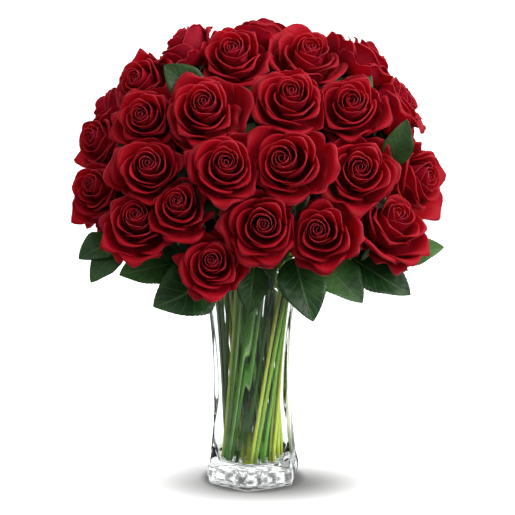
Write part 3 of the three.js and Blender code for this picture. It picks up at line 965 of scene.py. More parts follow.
ROSES = {
    "top": Rose(166, 76, 1.07, 170, 62, 0.98),
    "crown_left": Rose(-84, 66, 1.08, -100, 48, 1),
    "crown_front": Rose(-20, 70, 1, -8, 40, 1.02),
    "crown_right": Rose(50, 66, 1.03, 14, 50, 1.03),
    "crown_back": Rose(98, 52, 1.13, 108, 44, 1.04),
    "high_far_left": Rose(-70, 47, 1.03, -38, 26, 0.88),
    "high_left_back": Rose(-100, 32, 1.06, -96, 26, 0.92),
    "high_left": Rose(-47, 35, 1, -14, 22, 0.9),
    "high_front_left": Rose(-21, 40, 1, -4, 28, 1.08),
    "high_front_right": Rose(17, 45, 1, 2, 34, 1.02),
    "high_right": Rose(43, 41, 1, -4, 34, 1),
    "high_far_right": Rose(76, 35, 1.11, 80, 34, 1.03),
    "side_right_back": Rose(101, 22, 1, 104, 12, 1),
    "side_left_high": Rose(-79, 22, 1.01, -50, 14, 0.94),
    "mid_far_left": Rose(-36, 18, 1, -2, 24, 1.02),
    "mid_left": Rose(-9, 20, 1, 4, 24, 0.96),
    "mid_front": Rose(11, 21, 1, -10, 22, 1.08),
    "mid_right": Rose(37, 17, 1, 4, 22, 1.05),
    "side_right": Rose(74, 9, 1.05, 52, 8, 1.1),
    "side_left": Rose(-65, 7, 1.01, -30, 16, 0.88),
    "low_far_left": Rose(-39, 1, 1, -6, 30, 0.96),
    "low_left": Rose(-25, 6, 0.96, -6, 24, 0.9),
    "side_left_low": Rose(-96, -9, 0.92, -84, -6, 0.94),
    "low_front": Rose(3, 0, 1, 0, 14, 1.06),
    "low_right": Rose(21, -3, 1, -8, 18, 0.96),
    "low_far_right": Rose(53, 0, 1.01, 32, 40, 1.08),
    "lowest": Rose(-13, -13, 1, -2, 20, 0.88),
    "back_far_right": Rose(122, -6, 1, 122, -4, 1.04),
    "back_right": Rose(152, 1, 1, 152, 4, 1.1),
    "back_middle": Rose(179, -4, 1, 179, 0, 1.1),
    "back_left": Rose(-156, 1, 1, -156, 4, 1.1),
    "back_far_left": Rose(-128, 0, 1, -128, 0, 1.06),
    "back_high_right": Rose(129, 32, 1, 132, 28, 1.04),
    "back_high_middle": Rose(160, 38, 1.02, 165, 32, 1.08),
    "back_high_left": Rose(-166, 36, 1.02, -168, 30, 1.08),
    "back_high_far_left": Rose(-136, 34, 1, -126, 28, 1.06),
}


@dataclass(frozen=True)
class Press:
    """How blooms that stand close give way to each other, in metres.

    Two stand close when their heads are nearer than the reach times both their radii.
    """

    radius: float = 0.040
    depth: float = 0.007
    gap: float = 0.0005
    reach: float = 1.3

    def bend(self, points: Array, rose: Rose, slack: Array) -> Array:
        """Points of a bloom bent clear of the blooms beside it.

        Between two heads stands a plane. Past a soft start in front of it, a point that would lie a
        distance beyond the start lies at depth times distance over depth plus distance instead, so it never
        meets the plane.

        Args:
            points: Points of the bloom.
            rose: The bloom's own place.
            slack: How far past the plane each petal may lie over or under those of the next bloom.

        Returns:
            The bent points.
        """
        bent = points
        for other in ROSES.values():
            apart = other.head - rose.head
            distance = float(np.linalg.norm(apart))
            both = rose.size + other.size
            if other is rose or distance >= self.reach * self.radius * both:
                continue
            normal = apart / distance
            start = distance * rose.size / both - self.gap / 2 - self.depth
            past = np.maximum((bent - rose.head) @ normal - start - slack, 0.0)
            bent = bent + (self.depth * past / (self.depth + past) - past)[..., None] * normal
        return bent


# Blooms


@dataclass(frozen=True)
class Whorl:
    """A ring of petals. Lengths are in millimetres for a bloom of size one, and angles in degrees.

    Attributes:
        count: Petals in the ring.
        radius: The lip's distance from the axis.
        height: The lip's height above the seat.
        lean: How far the petal leans outwards at its lip, from upright.
        curl: How far it turns on outwards past the lip.
        curl_length: The length of that turn.
        half_width: How far it reaches round the bloom to each side.
        spiral: How much further out one side stands than the middle, as a share of the radius.
        roll: How far the sides roll outwards.
        wave: The height of the waves at the rim.
        foot: The height of the petal's foot above the seat.
        spread: How much further out the first petal stands than the middle one, as a share of the radius.
        stretch: How much further out chance may move a petal, as a share of the radius.
        taper: How much narrower the petal is at its rim, as a share.
    """

    count: int
    radius: float
    height: float
    lean: float
    curl: float
    curl_length: float
    half_width: float
    spiral: float
    roll: float
    wave: float
    foot: float
    spread: float
    stretch: float
    taper: float


WHORLS = (
    Whorl(4, 35.5, 16.0, 80, 60, 5.0, 48, 0.04, 2.4, 2.4, 2, 0.08, 0.2, 0.3),
    Whorl(4, 31.5, 27.5, 56, 105, 4.6, 52, 0.05, 3.0, 1.8, 3, 0.07, 0.1, 0.22),
    Whorl(4, 28.0, 36.5, 36, 125, 2.8, 60, 0.06, 2.0, 1.1, 5, 0.06, 0.04, 0.14),
    Whorl(3, 23.6, 40.0, 26, 120, 2.0, 66, 0.09, 1.4, 0.8, 7, 0.07, 0.0, 0.12),
    Whorl(3, 17.0, 43.2, 10, 110, 1.5, 74, 0.16, 0.8, 0.6, 9, 0.09, 0.0, 0.08),
    Whorl(3, 12.2, 45.2, -4, 95, 1.1, 84, 0.16, 0.4, 0.35, 11, 0.06, 0.0, 0.04),
    Whorl(3, 8.4, 45.4, -12, 80, 0.85, 98, 0.18, 0.2, 0.25, 12.5, 0.05, 0.0, 0.0),
    Whorl(3, 5.2, 44.8, -15, 60, 0.7, 115, 0.22, 0.1, 0.1, 14, 0.04, 0.0, 0.0),
    Whorl(2, 2.4, 43.6, -15, 40, 0.5, 160, 0.3, 0.0, 0.03, 15, 0.04, 0.0, 0.0),
)

# The long guard petals stand in the second whorl.
FLAP_WHORL = 1

# The factor, the step and the span of the draw by which both models turn each bloom.
DRAW = (1664525, 1013904223, 2**32)


@dataclass(frozen=True)
class Habit:
    """How one rose differs: where its bud stands off the middle of its cup, and its long guard petals.

    The bud is an angle and a distance in millimetres, and each long petal an angle and its reach as a share
    of the others'. The angles run round the face from its top towards its left, in degrees. The guard
    petals can reach further than usual, and their edges be more ragged. The long petals stand taller than
    the others by some millimetres.
    """

    bud: Pair = (0.0, 2.5)
    flaps: tuple[Pair, ...] = ()
    guard: float = 1.0
    ragged: float = 1.35
    tall: float = 2.0


HABITS = {
    "crown_front": Habit((0, 1.0), ((200, 1.25), (245, 1.2), (150, 1.15))),
    "crown_right": Habit((0, 1.0), ((110, 1.3), (225, 1.25), (8, 1.4), (48, 1.35)), ragged=1.4),
    "high_left": Habit((90, 3.0), ((120, 1.3), (245, 1.2))),
    "high_front_left": Habit((340, 4.5), ((277, 1.5), (180, 1.05))),
    "high_front_right": Habit((0, 4.0), ((175, 1.2), (110, 1.2), (50, 1.2))),
    "high_right": Habit((270, 4.0), ((250, 1.4), (185, 1.15))),
    "mid_far_left": Habit((20, 3.0), ((75, 1.2), (180, 1.15))),
    "mid_left": Habit((290, 2.0), ((180, 1.3), (225, 1.2), (75, 1.15))),
    "mid_front": Habit((75, 5.0), ((60, 1.45), (265, 1.38), (175, 1.15))),
    "mid_right": Habit((0, 0.5), ((125, 1.2), (175, 1.25), (250, 1.15))),
    "side_left": Habit((10, 4.5), ((145, 1.35),)),
    "low_far_left": Habit((20, 3.0), ((180, 1.45), (130, 1.35), (225, 1.3))),
    "low_left": Habit((20, 4.0), ((190, 1.35), (130, 1.2))),
    "low_front": Habit((300, 1.5), ((92, 1.2), (150, 1.15), (200, 1.15))),
    "low_right": Habit((45, 4.0), ((265, 1.3), (190, 1.2))),
    "low_far_right": Habit((0, 3.0), ((130, 1.35), (180, 1.4), (215, 1.25))),
    "lowest": Habit((0, 4.0), ((175, 1.2), (100, 1.15))),
    "top": Habit(guard=1.15, ragged=2.0),
    "crown_left": Habit(flaps=((180, 1.08), (215, 1.1), (95, 1.4)), guard=0.95, ragged=2.0, tall=9.0),
    "crown_back": Habit(flaps=((180, 1.3), (120, 1.3)), guard=1.2, ragged=2.2),
    "high_far_left": Habit((60, 2.0), ((300, 1.35), (120, 1.2)), guard=1.1, ragged=1.8),
    "high_left_back": Habit(flaps=((180, 1.3), (250, 1.2)), guard=0.85, ragged=1.4),
    "high_far_right": Habit(
        flaps=((172, 1.05), (215, 1.15), (90, 1.3), (285, 1.3)), guard=1.2, ragged=2.0, tall=10.0
    ),
    "side_right_back": Habit(flaps=((15, 1.3), (330, 1.35), (180, 1.3)), guard=1.2, ragged=2.2, tall=9.0),
    "side_left_high": Habit((20, 3.0), ((120, 1.25), (180, 1.3)), guard=1.03, ragged=2.2),
    "side_left_low": Habit(flaps=((90, 1.3), (0, 1.2)), guard=1.15, ragged=2.0),
    "side_right": Habit((0, 2.0), ((0, 1.2), (218, 1.5), (268, 1.32)), guard=1.06, ragged=2.2),
}
USUAL = Habit(guard=1.08, ragged=1.5)


@dataclass(frozen=True)
class Chance:
    """How much the petals of one bloom differ by chance, in millimetres, degrees and shares.

    A name with opening in it is how much the bloom's own opening, from -1 to 1, adds to all its petals. The
    turn round the bloom is in radians.
    """

    opening_lean: float = 5.0
    lean: float = 7.0
    radius: float = 0.02
    stretch_power: float = 1.5
    opening_radius: float = 6.0
    height: float = 1.1
    inner_height: float = 0.3
    step_down: float = 1.2
    curl: float = 0.25
    half_width: float = 0.06
    off_axis: float = 0.35
    turn: float = 0.08


@dataclass(frozen=True)
class PetalGrid:
    """How finely a petal is laid out: points across it, up its body and over its curl."""

    columns: int
    body_rows: int
    curl_rows: int


@dataclass
class Bloom:
    """A rose's head: nine whorls of petals, from the guard petals in to the heart.

    A petal's lengths are in millimetres, but for its thickness and its slack, which are in metres. The foot
    radius is the heart's and what the outermost layer adds. The belly is a factor on the lip's radius, a
    length more, and a share of the rise. The side curl is how much further the sides turn and by how much
    they are shorter. The turn from one whorl to the next is a share of a whole turn. Waves are counted in
    half waves from a petal's middle to its side, and those upwards have a share of the height of those
    outwards.
    """

    name: str
    rose: Rose
    number: int
    outer_grid: PetalGrid = PetalGrid(13, 7, 4)
    inner_grid: PetalGrid = PetalGrid(11, 6, 3)
    inner_layer: float = 0.45
    thickness: float = 0.00036
    foot_radius: Pair = (1.5, 4.0)
    belly: Triple = (1.02, 1.0, 0.06)
    neck: float = 0.5
    corner: float = 0.24
    corner_power: float = 2.4
    side_curl: Pair = (0.2, 0.7)
    lip_share: float = 0.84
    roll_start: float = 0.6
    roll_drop: float = 0.5
    waves_out: float = 1.3
    waves_up: Pair = (2.3, 0.6)
    tip_width: float = 0.2
    tip_reach: float = 7.5
    tip_lift: float = 1.5
    tip_taper: float = 0.4
    bud_radius: Pair = (8.0, 27.0)
    start_parts: int = 5
    whorl_turn: float = 0.1
    flap_lean: float = 60.0
    flap_narrowing: float = 0.35
    guard_slack: float = 0.004
    flap_slack: float = 0.011
    chance: Chance = Chance()
    press: Press = Press()

    def petal_values(self, rng: np.random.Generator) -> dict[str, Array]:
        """Each petal's own sizes: its whorl's, a step inwards from petal to petal, and random changes.

        Args:
            rng: The bloom's own source of numbers.

        Returns:
            The fields of a whorl, each as one number for a petal with axes for rows and columns.
        """
        counts = [whorl.count for whorl in WHORLS]
        total = sum(counts)
        value = {
            key: np.repeat([float(getattr(whorl, key)) for whorl in WHORLS], counts)
            for key in Whorl.__dataclass_fields__
        }
        chance = self.chance
        within = np.concatenate([np.linspace(1.0, -1.0, count) for count in counts])
        layer = np.interp(value["radius"], [0.0, WHORLS[0].radius], [0.0, 1.0])
        opening = rng.uniform(-1.0, 1.0)
        value["layer"] = layer
        value["lean"] += layer * (chance.opening_lean * opening + rng.normal(0, chance.lean, total))
        value["radius"] *= 1 + value["spread"] * within + rng.normal(0, chance.radius, total)
        value["radius"] *= 1 + value["stretch"] * rng.uniform(0, 1, total) ** chance.stretch_power
        value["radius"] += chance.opening_radius * opening * layer * (1 - layer)
        uneven = rng.normal(0, chance.height, total) * (chance.inner_height + layer)
        value["height"] += uneven - chance.step_down * within * layer
        value["curl"] *= 1 + rng.normal(0, chance.curl, total)
        value["half_width"] *= 1 + rng.normal(0, chance.half_width, total)
        value["angle"] = self.petal_angles(counts, rng)
        value["phase"] = rng.uniform(0, 2 * math.pi, total)
        value["tone"] = rng.uniform(0, 1, total)
        value["point"] = rng.uniform(0.0, 1.0, total) * layer**2
        self.set_habit(value, counts, rng)
        return {key: numbers[:, None, None] for key, numbers in value.items()}

    def set_habit(self, value: dict[str, Array], counts: Sequence[int], rng: np.random.Generator) -> None:
        """Moves the bud off the middle and draws out the long guard petals.

        Args:
            value: The petals' sizes, which are changed.
            counts: Petals in each whorl.
            rng: The bloom's own source of numbers.
        """
        habit = HABITS.get(self.name, USUAL)
        inner = 1 - smooth_step(value["radius"], *self.bud_radius)
        angle, distance = math.radians(habit.bud[0]), habit.bud[1]
        off_axis = self.chance.off_axis
        value["up"] = distance * math.cos(angle) * inner + rng.normal(0, off_axis, len(inner))
        value["left"] = distance * math.sin(angle) * inner + rng.normal(0, off_axis, len(inner))
        first = sum(counts[:FLAP_WHORL])
        guards = np.arange(len(inner)) < first + counts[FLAP_WHORL]
        value["slack"] = np.where(guards, self.guard_slack, 0.0)
        value["radius"] *= np.where(guards, habit.guard, 1.0)
        value["wave"] *= np.where(guards, habit.ragged, 0.5 + 0.5 * habit.ragged)
        free = list(range(first, first + counts[FLAP_WHORL]))
        for flap, reach in habit.flaps:
            off = (np.degrees(value["angle"][free]) - flap + 180) % 360 - 180
            petal = free.pop(int(np.argmin(np.abs(off))))
            value["angle"][petal] = math.radians(flap)
            value["radius"][petal] = WHORLS[FLAP_WHORL].radius * reach
            value["height"][petal] = WHORLS[FLAP_WHORL].height + habit.tall
            value["lean"][petal] = self.flap_lean
            value["slack"][petal] = self.flap_slack
            value["half_width"][petal] *= 1.0 - self.flap_narrowing * (reach - 1.0)

    def petal_angles(self, counts: Sequence[int], rng: np.random.Generator) -> Array:
        """The middle of each petal round the bloom, in radians.

        The petals of a whorl stand evenly round it, and each whorl is turned on a little from the one
        outside it. The guard petals start where the solid of the bloom has them: at a turn over the start
        parts, times a share that is drawn from the bloom's number.

        Args:
            counts: Petals in each whorl.
            rng: The bloom's own source of numbers.

        Returns:
            One angle for each petal.
        """
        factor, step, span = DRAW
        drawn = ((SEED + self.number) * factor + step) % span / span
        turns = [
            drawn / self.start_parts + self.whorl_turn * (whorl - FLAP_WHORL) + np.arange(count) / count
            for whorl, count in enumerate(counts)
        ]
        return np.concatenate(turns) * 2 * math.pi + rng.normal(0, self.chance.turn, sum(counts))

    def meridian(self, value: dict[str, Array], s: Array, grid: PetalGrid) -> tuple[Array, Array, Array]:
        """The curve of each petal from its foot over its lip, in millimetres from the axis and the seat.

        The body is a cubic curve that bulges out of the hip and arrives at the lip with the petal's lean,
        and it stops short towards the petal's sides. Past the lip an arc carries on from there and turns
        outwards.

        Args:
            value: The petals' sizes.
            s: From -1 to 1 across a petal.
            grid: How finely they are laid out.

        Returns:
            Radius, height and the share of the way from foot to rim, each petals by rows by columns.
        """
        lean = np.radians(value["lean"])
        rise = value["height"] - value["foot"]
        foot = (self.foot_radius[0] + self.foot_radius[1] * value["layer"], value["foot"])
        belly = (value["radius"] * self.belly[0] + self.belly[1], value["foot"] + rise * self.belly[2])
        neck_out, neck_down = self.neck * rise * np.sin(lean), self.neck * rise * np.cos(lean)
        neck = (value["radius"] - neck_out, value["height"] - neck_down)
        lip = (value["radius"], value["height"])
        share = np.linspace(0.0, 1.0, grid.body_rows)[None, :, None]
        t = share * (1 - self.corner * np.abs(s) ** self.corner_power)
        radius, height = (cubic(*points, t) for points in zip(foot, belly, neck, lip))
        out, up = (cubic_slope(*points, t[:, -1:]) for points in zip(foot, belly, neck, lip))
        start = np.arctan2(out, up)
        past = np.linspace(0.0, 1.0, grid.curl_rows + 1)[None, 1:, None]
        curl = np.radians(value["curl"]) * (1 + self.side_curl[0] * s * s)
        bow = value["curl_length"] * (1 - self.side_curl[1] * s**4) / curl
        curled_radius = radius[:, -1:] + bow * (np.cos(start) - np.cos(start + curl * past))
        curled_height = height[:, -1:] + bow * (np.sin(start + curl * past) - np.sin(start))
        over_lip = self.lip_share + (1 - self.lip_share) * past
        along = np.concatenate([share * self.lip_share, over_lip], axis=1)
        radius = np.concatenate([radius, curled_radius], axis=1)
        height = np.concatenate([height, curled_height], axis=1)
        return radius, height, np.broadcast_to(along, radius.shape)

    def petals(self, value: dict[str, Array], grid: PetalGrid) -> tuple[Array, dict[str, Array]]:
        """The middle surface of every petal.

        The meridian is swept round the axis by the petal's half width each way, which tapers towards the
        rim. One side stands further in than the other, so that the rims make a spiral. The sides roll
        outwards by the square of how far past their start they are, slow waves grow towards the rim, and
        some petals are drawn to a point by a narrow bell curve.

        Args:
            value: The petals' sizes.
            grid: How finely they are laid out.

        Returns:
            Petals by rows by columns by three, and the marks for the finish.
        """
        s = np.linspace(-1.0, 1.0, grid.columns)[None, None, :]
        radius, height, along = self.meridian(value, s, grid)
        rolled = np.clip((np.abs(s) - self.roll_start) / (1 - self.roll_start), 0, 1) ** 2 * along**2
        wave = value["wave"] * along**3
        tip = value["point"] * np.exp(-((s / self.tip_width) ** 2)) * along**8
        radius = radius * (1 + value["spiral"] * s) + value["roll"] * rolled
        radius = radius + wave * np.sin(self.waves_out * math.pi * s + value["phase"])
        radius = radius + self.tip_reach * tip
        height = height - self.roll_drop * value["roll"] * rolled
        height = height + self.tip_lift * tip * np.sin(3 * value["phase"])
        waves, share = self.waves_up
        height = height + share * wave * np.sin(waves * math.pi * s + 2 * value["phase"])
        narrow = 1 - value["taper"] * along**4 * (1 + self.tip_taper * value["point"])
        angle = value["angle"] + np.radians(value["half_width"]) * s * narrow
        up, left = radius * np.cos(angle) + value["up"], radius * np.sin(angle) + value["left"]
        middle = self.rose.place(up * MM, left * MM, height * MM)
        marks = {"across": s[:, None], "along": along[:, None]}
        marks |= {key: value[key][:, None] for key in ("tone", "layer")}
        return self.press.bend(middle, self.rose, value["slack"]), marks

    def build(self, finishes: Finishes) -> None:
        """Makes the bloom in place of its node.

        Args:
            finishes: The finishes to dress it in.
        """
        values = self.petal_values(np.random.default_rng([SEED, self.number]))
        inner = values["layer"][:, 0, 0] < self.inner_layer
        back = np.array([1.0, 0.0])[None, :, None, None]
        shell = Shell()
        for picked, grid in ((~inner, self.outer_grid), (inner, self.inner_grid)):
            middle, marks = self.petals({key: numbers[picked] for key, numbers in values.items()}, grid)
            shell.sheets(*thickened(middle, self.thickness), back=back, **marks)
        made = shell.make(f"rose_{self.name}", [finishes.petal])
        tie_to_frame(made, f"bloom_{self.name}")


# Leaves


@dataclass(frozen=True)
class Leaf:
    """A toothed leaf from its base to its tip, with its greatest width, in millimetres in the frame.

    Its face looks outwards, to the arrangement's front or back, whichever is nearer, and up, by the three
    shares of its lie, or else the way that facing says. Its thickness and its stalk are in metres.
    """

    base: Triple
    tip: Triple
    width: float
    rows: int = 57
    columns: int = 9
    bow: float = 0.0
    arch: float = 0.1
    fold: float = 0.22
    middle_lift: float = 0.75
    teeth: int = 19
    tooth: float = 0.055
    teeth_start: Pair = (0.06, 0.2)
    edge_swell: float = 0.02
    edge_power: int = 6
    fullness: float = 0.8
    least_width: float = 0.02
    wave: float = 0.05
    waves: float = 2.5
    wave_phase: float = 6.28
    wave_lag: float = 1.6
    quilt: float = 0.012
    thickness: float = 0.0005
    petiole_radius: float = 0.0017
    petiole_taper: Pair = (1.05, 0.9)
    petiole_rise: float = 0.4
    petiole_sag: float = 0.004
    petiole_end: float = 0.008
    petiole_tone: float = 0.35
    midrib_reach: float = 0.94
    lie: Triple = (0.35, 0.65, 0.55)
    facing: Triple | None = None
    stalk_rings: int = 10
    stalk_sides: int = 8
    # How dark the painted shade on the leaf is, from 0 to 1.
    painted_shade: float = 0.0

    @cached_property
    def ends(self) -> tuple[Array, Array]:
        """The base and the tip in metres."""
        return np.array(self.base) * MM, np.array(self.tip) * MM

    @cached_property
    def axes(self) -> tuple[Array, Array, Array]:
        """The leaf's own directions.

        Returns:
            Along the leaf, across it, and its normal.
        """
        base, tip = self.ends
        along = unit(tip - base)
        outward = unit((base + tip) * [1, 1, 0])
        out, ahead, up = self.lie
        near = np.array([0.0, ahead * np.sign(tip[1]), up]) + out * outward
        if self.facing is not None:
            near = np.array(self.facing)
        across = unit(np.cross(along, near))
        return along, across, np.cross(across, along)

    def rib(self, t: Array) -> Array:
        """Points on the arched rib: the straight line raised, and bowed to one side, by a half wave.

        Args:
            t: Shares of the way from the base to the tip.

        Returns:
            A point for each.
        """
        base, tip = self.ends
        along, across, normal = self.axes
        length = np.linalg.norm(tip - base)
        off = self.arch * normal + self.bow * across
        return base + length * (t[:, None] * along + np.sin(math.pi * t)[:, None] * off)

    def blade(self, rng: np.random.Generator) -> Array:
        """The middle surface of the blade.

        Its half width is a power of a half wave of the share of its length, cut by a saw wave at the edge.
        The sides rise as they leave the rib, slow waves run along the edges, and between the side ribs the
        face is quilted by a wave that is slanted as they are.

        Args:
            rng: A source of numbers.

        Returns:
            One sheet by rows by columns by three.
        """
        _, across, normal = self.axes
        t = np.linspace(0.0, 1.0, self.rows)[:, None]
        s = np.linspace(-1.0, 1.0, self.columns)
        off = np.abs(s)
        rounded = np.maximum(np.sin(math.pi * t**self.fullness) ** self.fullness, self.least_width)
        half = self.width * MM / 2 * rounded
        cut = self.tooth * (1 - (t * self.teeth) % 1.0) * smooth_step(t, *self.teeth_start)
        side = s * half * (1 + off**self.edge_power * (self.edge_swell - cut))
        phase = rng.uniform(0, self.wave_phase) + self.wave_lag * np.sign(s)
        wave = self.wave * half * np.sin(self.waves * 2 * math.pi * t + phase)
        lift = self.fold * np.abs(side) * (self.middle_lift + (1 - self.middle_lift) * off) + wave * off**2
        ribs = np.sin(2 * math.pi * LEAF_RIBS * (t - LEAF_SLANT * off))
        lift = lift + self.quilt * half * ribs * np.sin(math.pi * off)
        return (self.rib(t[:, 0])[:, None] + side[..., None] * across + lift[..., None] * normal)[None]

    def add_to(self, shell: Shell, start: Array, slots: tuple[int, int], rng: np.random.Generator) -> None:
        """Adds the blade, its raised midrib below and its stalk to a shell.

        Args:
            shell: What the leaf is added to.
            start: Where its stalk leaves the stem.
            slots: The material slots of the blade and of the stalk.
            rng: A source of numbers.
        """
        upper, lower = thickened(self.blade(rng), self.thickness)
        s = np.linspace(-1.0, 1.0, self.columns)[None, None, None, :]
        t = np.linspace(0.0, 1.0, self.rows)[None, None, :, None]
        tone = rng.uniform(0, 1)
        along, _, normal = self.axes
        back = np.array([0.0, 1.0])[None, :, None, None]
        marks = {"across": s, "along": t, "tone": tone, "back": back, "layer": self.painted_shade}
        shell.sheets(upper, lower, slot=slots[0], **marks)
        rib = self.rib(np.linspace(0.0, self.midrib_reach, self.stalk_rings)) - normal * self.thickness
        rise = np.linspace(0, 1, self.stalk_rings)[:-1, None]
        hang = start + (rib[0] - start) * self.petiole_rise - UP * self.petiole_sag
        stalk = cubic(start, hang, rib[0] - along * self.petiole_end, rib[0], rise)
        path = np.concatenate([stalk, rib])
        share = np.linspace(0.0, 1.0, len(path))
        radii = self.petiole_radius * (self.petiole_taper[0] - self.petiole_taper[1] * share)
        rings = rings_along(path, radii, self.stalk_sides, self.axes[1])
        shell.tube(rings, slot=slots[1], along=share[:, None], tone=self.petiole_tone)


# Stems


@dataclass(frozen=True)
class StemRun:
    """How the stems stand in the vase: straight from a foot on its floor to the rim, and turned on the way.

    Lengths are in metres and angles in degrees. The bunches that leave the rim up to a share of its circle
    turn the other way. A spread is how far the stems of a bunch of one, two or three stand from its middle.
    """

    foot_level: float = 0.0255
    rim_level: float = 0.258
    foot_circle: float = 0.0295
    rim_circle: float = 0.045
    twist: float = 70.0
    inner_twist: float = -70.0
    inner_to: float = 0.5
    foot_spread: Triple = (0.0, 0.00235, 0.0027)
    rim_spread: Triple = (0.0, 0.0036, 0.0042)
    neck_bend: float = 0.032
    climb: float = 0.42
    spray_climb: float = 0.16
    steps: int = 30

    def in_vase(self, azimuth: float, share: float, lean: float, members: int) -> tuple[Array, Array]:
        """The two ends of a stem's straight run.

        Args:
            azimuth: Where its bunch leaves the vase.
            share: How far out, as a share of the rim's circle.
            lean: The azimuth that it stands to in its bunch.
            members: Stems in the bunch.

        Returns:
            The foot and the point at the rim.
        """
        twist = self.inner_twist if share <= self.inner_to else self.twist
        spread = direction(lean)
        member = members - 1
        foot = direction(azimuth - twist) * self.foot_circle * share + spread * self.foot_spread[member]
        rim = direction(azimuth) * self.rim_circle * share + spread * self.rim_spread[member]
        foot[2], rim[2] = self.foot_level, self.rim_level
        return foot, rim

    def path(self, ends: tuple[Array, Array], end: Array, along: Array, climb: float) -> Array:
        """Points along a stem: its straight run, then a cubic curve that meets its end along a direction.

        Args:
            ends: The foot and the point at the rim.
            end: Where the stem ends.
            along: The way that it points there.
            climb: How far the curve goes on rising as the straight run does, as a share of the way to the
                end.

        Returns:
            The points, from the foot to the end.
        """
        foot, rim = ends
        rise = unit(rim - foot)
        length = np.linalg.norm(end - rim)
        t = np.linspace(0.0, 1.0, self.steps)[:, None]
        curve = cubic(rim, rim + rise * climb * length, end - along * self.neck_bend, end, t)
        straight = foot + (rim - foot) * np.linspace(0.0, 1.0, self.steps // 2)[:-1, None]
        return np.concatenate([straight, curve])


RUN = StemRun()


@dataclass(frozen=True)
class Calyx:
    """The hip under a bloom and its five sepals, in metres and radians for a bloom of any size.

    The outline of the hip is pairs of a share of its length and a radius as a share of its greatest.
    """

    neck: float = 0.011
    hip_top: float = 0.003
    hip_radius: float = 0.0058
    hip_outline: tuple[Pair, ...] = ((0.35, 0.95), (0.7, 1.0), (1.0, 0.85))
    hip_rings: int = 12
    hip_sides: int = 20
    sepals: int = 5
    sepal_length: float = 0.034
    sepal_width: float = 0.0066
    sepal_thickness: float = 0.0006
    root_thickness: float = 1.1
    lengths: Pair = (0.8, 1.15)
    reflex: Pair = (0.3, 2.4)
    reflex_power: float = 1.6
    first_angle: float = 0.15
    turn_chance: float = 1.2
    root: float = 0.7
    root_drop: float = 0.0005
    taper: float = 0.75
    swell: float = 0.5
    hollow: float = 0.3
    ripple: float = 0.0012
    ripples: Pair = (5.0, 3.0)
    rows: int = 12
    columns: int = 5

    def add_to(self, shell: Shell, rose: Rose, radius: float, slot: int, rng: np.random.Generator) -> None:
        """Adds the hip as a turned shape, and the sepals.

        Args:
            shell: What they are added to.
            rose: The rose they carry.
            radius: The stem's radius at the neck.
            slot: The material slot.
            rng: A source of numbers.
        """
        t = np.linspace(0.0, 1.0, self.hip_rings)
        shares, radii = zip(*self.hip_outline)
        bulge = np.interp(t, [0.0, *shares], [radius, *(self.hip_radius * share for share in radii)])
        path = rose.seat + rose.axis * (-self.neck + t * (self.neck + self.hip_top))[:, None]
        rings = rings_along(path, bulge, self.hip_sides, rose.u)
        shell.tube(rings, slot=slot, along=t[:, None], tone=rng.uniform(0, 1))
        self.add_sepals(shell, rose, slot, rng)

    def add_sepals(self, shell: Shell, rose: Rose, slot: int, rng: np.random.Generator) -> None:
        """Adds the sepals as curved tapering sheets.

        A sepal leaves the shoulder of the hip outwards, and its middle line turns down by an angle that
        grows with a power of the way along it. It is hollow across, and a wave ripples its end.

        Args:
            shell: What they are added to.
            rose: The rose they carry.
            slot: The material slot.
            rng: A source of numbers.
        """
        along = np.linspace(0.0, 1.0, self.rows)[None, :, None]
        s = np.linspace(-1.0, 1.0, self.columns)[None, None, :]
        turn = np.arange(self.sepals) / self.sepals * 2 * math.pi + rng.uniform(0, self.turn_chance)
        turn = turn[:, None, None]
        reflex = rng.uniform(*self.reflex, self.sepals)[:, None, None]
        length = self.sepal_length * rng.uniform(*self.lengths, self.sepals)[:, None, None]
        angle = self.first_angle + reflex * along**self.reflex_power
        step = length / (self.rows - 1)
        out = self.hip_radius * self.root + np.cumsum(np.cos(angle) * step, axis=1)
        down = -self.root_drop - np.cumsum(np.sin(angle) * step, axis=1)
        half = self.sepal_width / 2 * (1 - along) ** self.taper * (1 + self.swell * np.sin(math.pi * along))
        wave = self.ripple * np.sin(self.ripples[0] * along + self.ripples[1] * turn) * along
        height = down - self.hollow * half * (s * s) + wave
        radial = np.cos(turn)[..., None] * rose.u + np.sin(turn)[..., None] * rose.v
        around = np.cross(rose.axis, radial)
        middle = rose.seat + radial * out[..., None] + around * (s * half)[..., None]
        middle = middle + rose.axis * height[..., None]
        under, upper = thickened(middle, self.sepal_thickness * (self.root_thickness - along))
        tone = rng.uniform(0, 1, self.sepals)[:, None, None, None]
        shell.sheets(under, upper, slot=slot, across=s[:, None], along=along[:, None], tone=tone)


@dataclass(frozen=True)
class Thorns:
    """Small hooked thorns set at random round a stem, but not on its first part or under its bloom."""

    count: int = 5
    length: float = 0.0042
    radius: float = 0.0016
    base: float = 1.02
    root: float = 0.8
    hook: float = 0.55
    rings: int = 6
    sides: int = 6
    tone: float = 0.6
    bare_part: int = 4
    bare_points: int = 8

    def add_to(self, shell: Shell, path: Array, radius: float, slot: int, rng: np.random.Generator) -> None:
        """Adds each thorn as a tapering tube that hooks down the stem by the square of the way along it.

        Args:
            shell: What they are added to.
            path: The stem's points.
            radius: Its radius.
            slot: The material slot.
            rng: A source of numbers.
        """
        picks = rng.integers(len(path) // self.bare_part, len(path) - self.bare_points, self.count)
        t = np.linspace(0.0, 1.0, self.rings)[:, None]
        for pick in picks:
            along = unit(path[pick + 1] - path[pick])
            out = square_to(along, direction(rng.uniform(0, 360)))
            spine = path[pick] + out * (radius * self.root + t * self.length)
            spine = spine - along * (t * t * self.length * self.hook)
            rings = rings_along(spine, self.radius * (self.base - t[:, 0]), self.sides, along)
            shell.tube(rings, slot=slot, tone=self.tone, back=t)


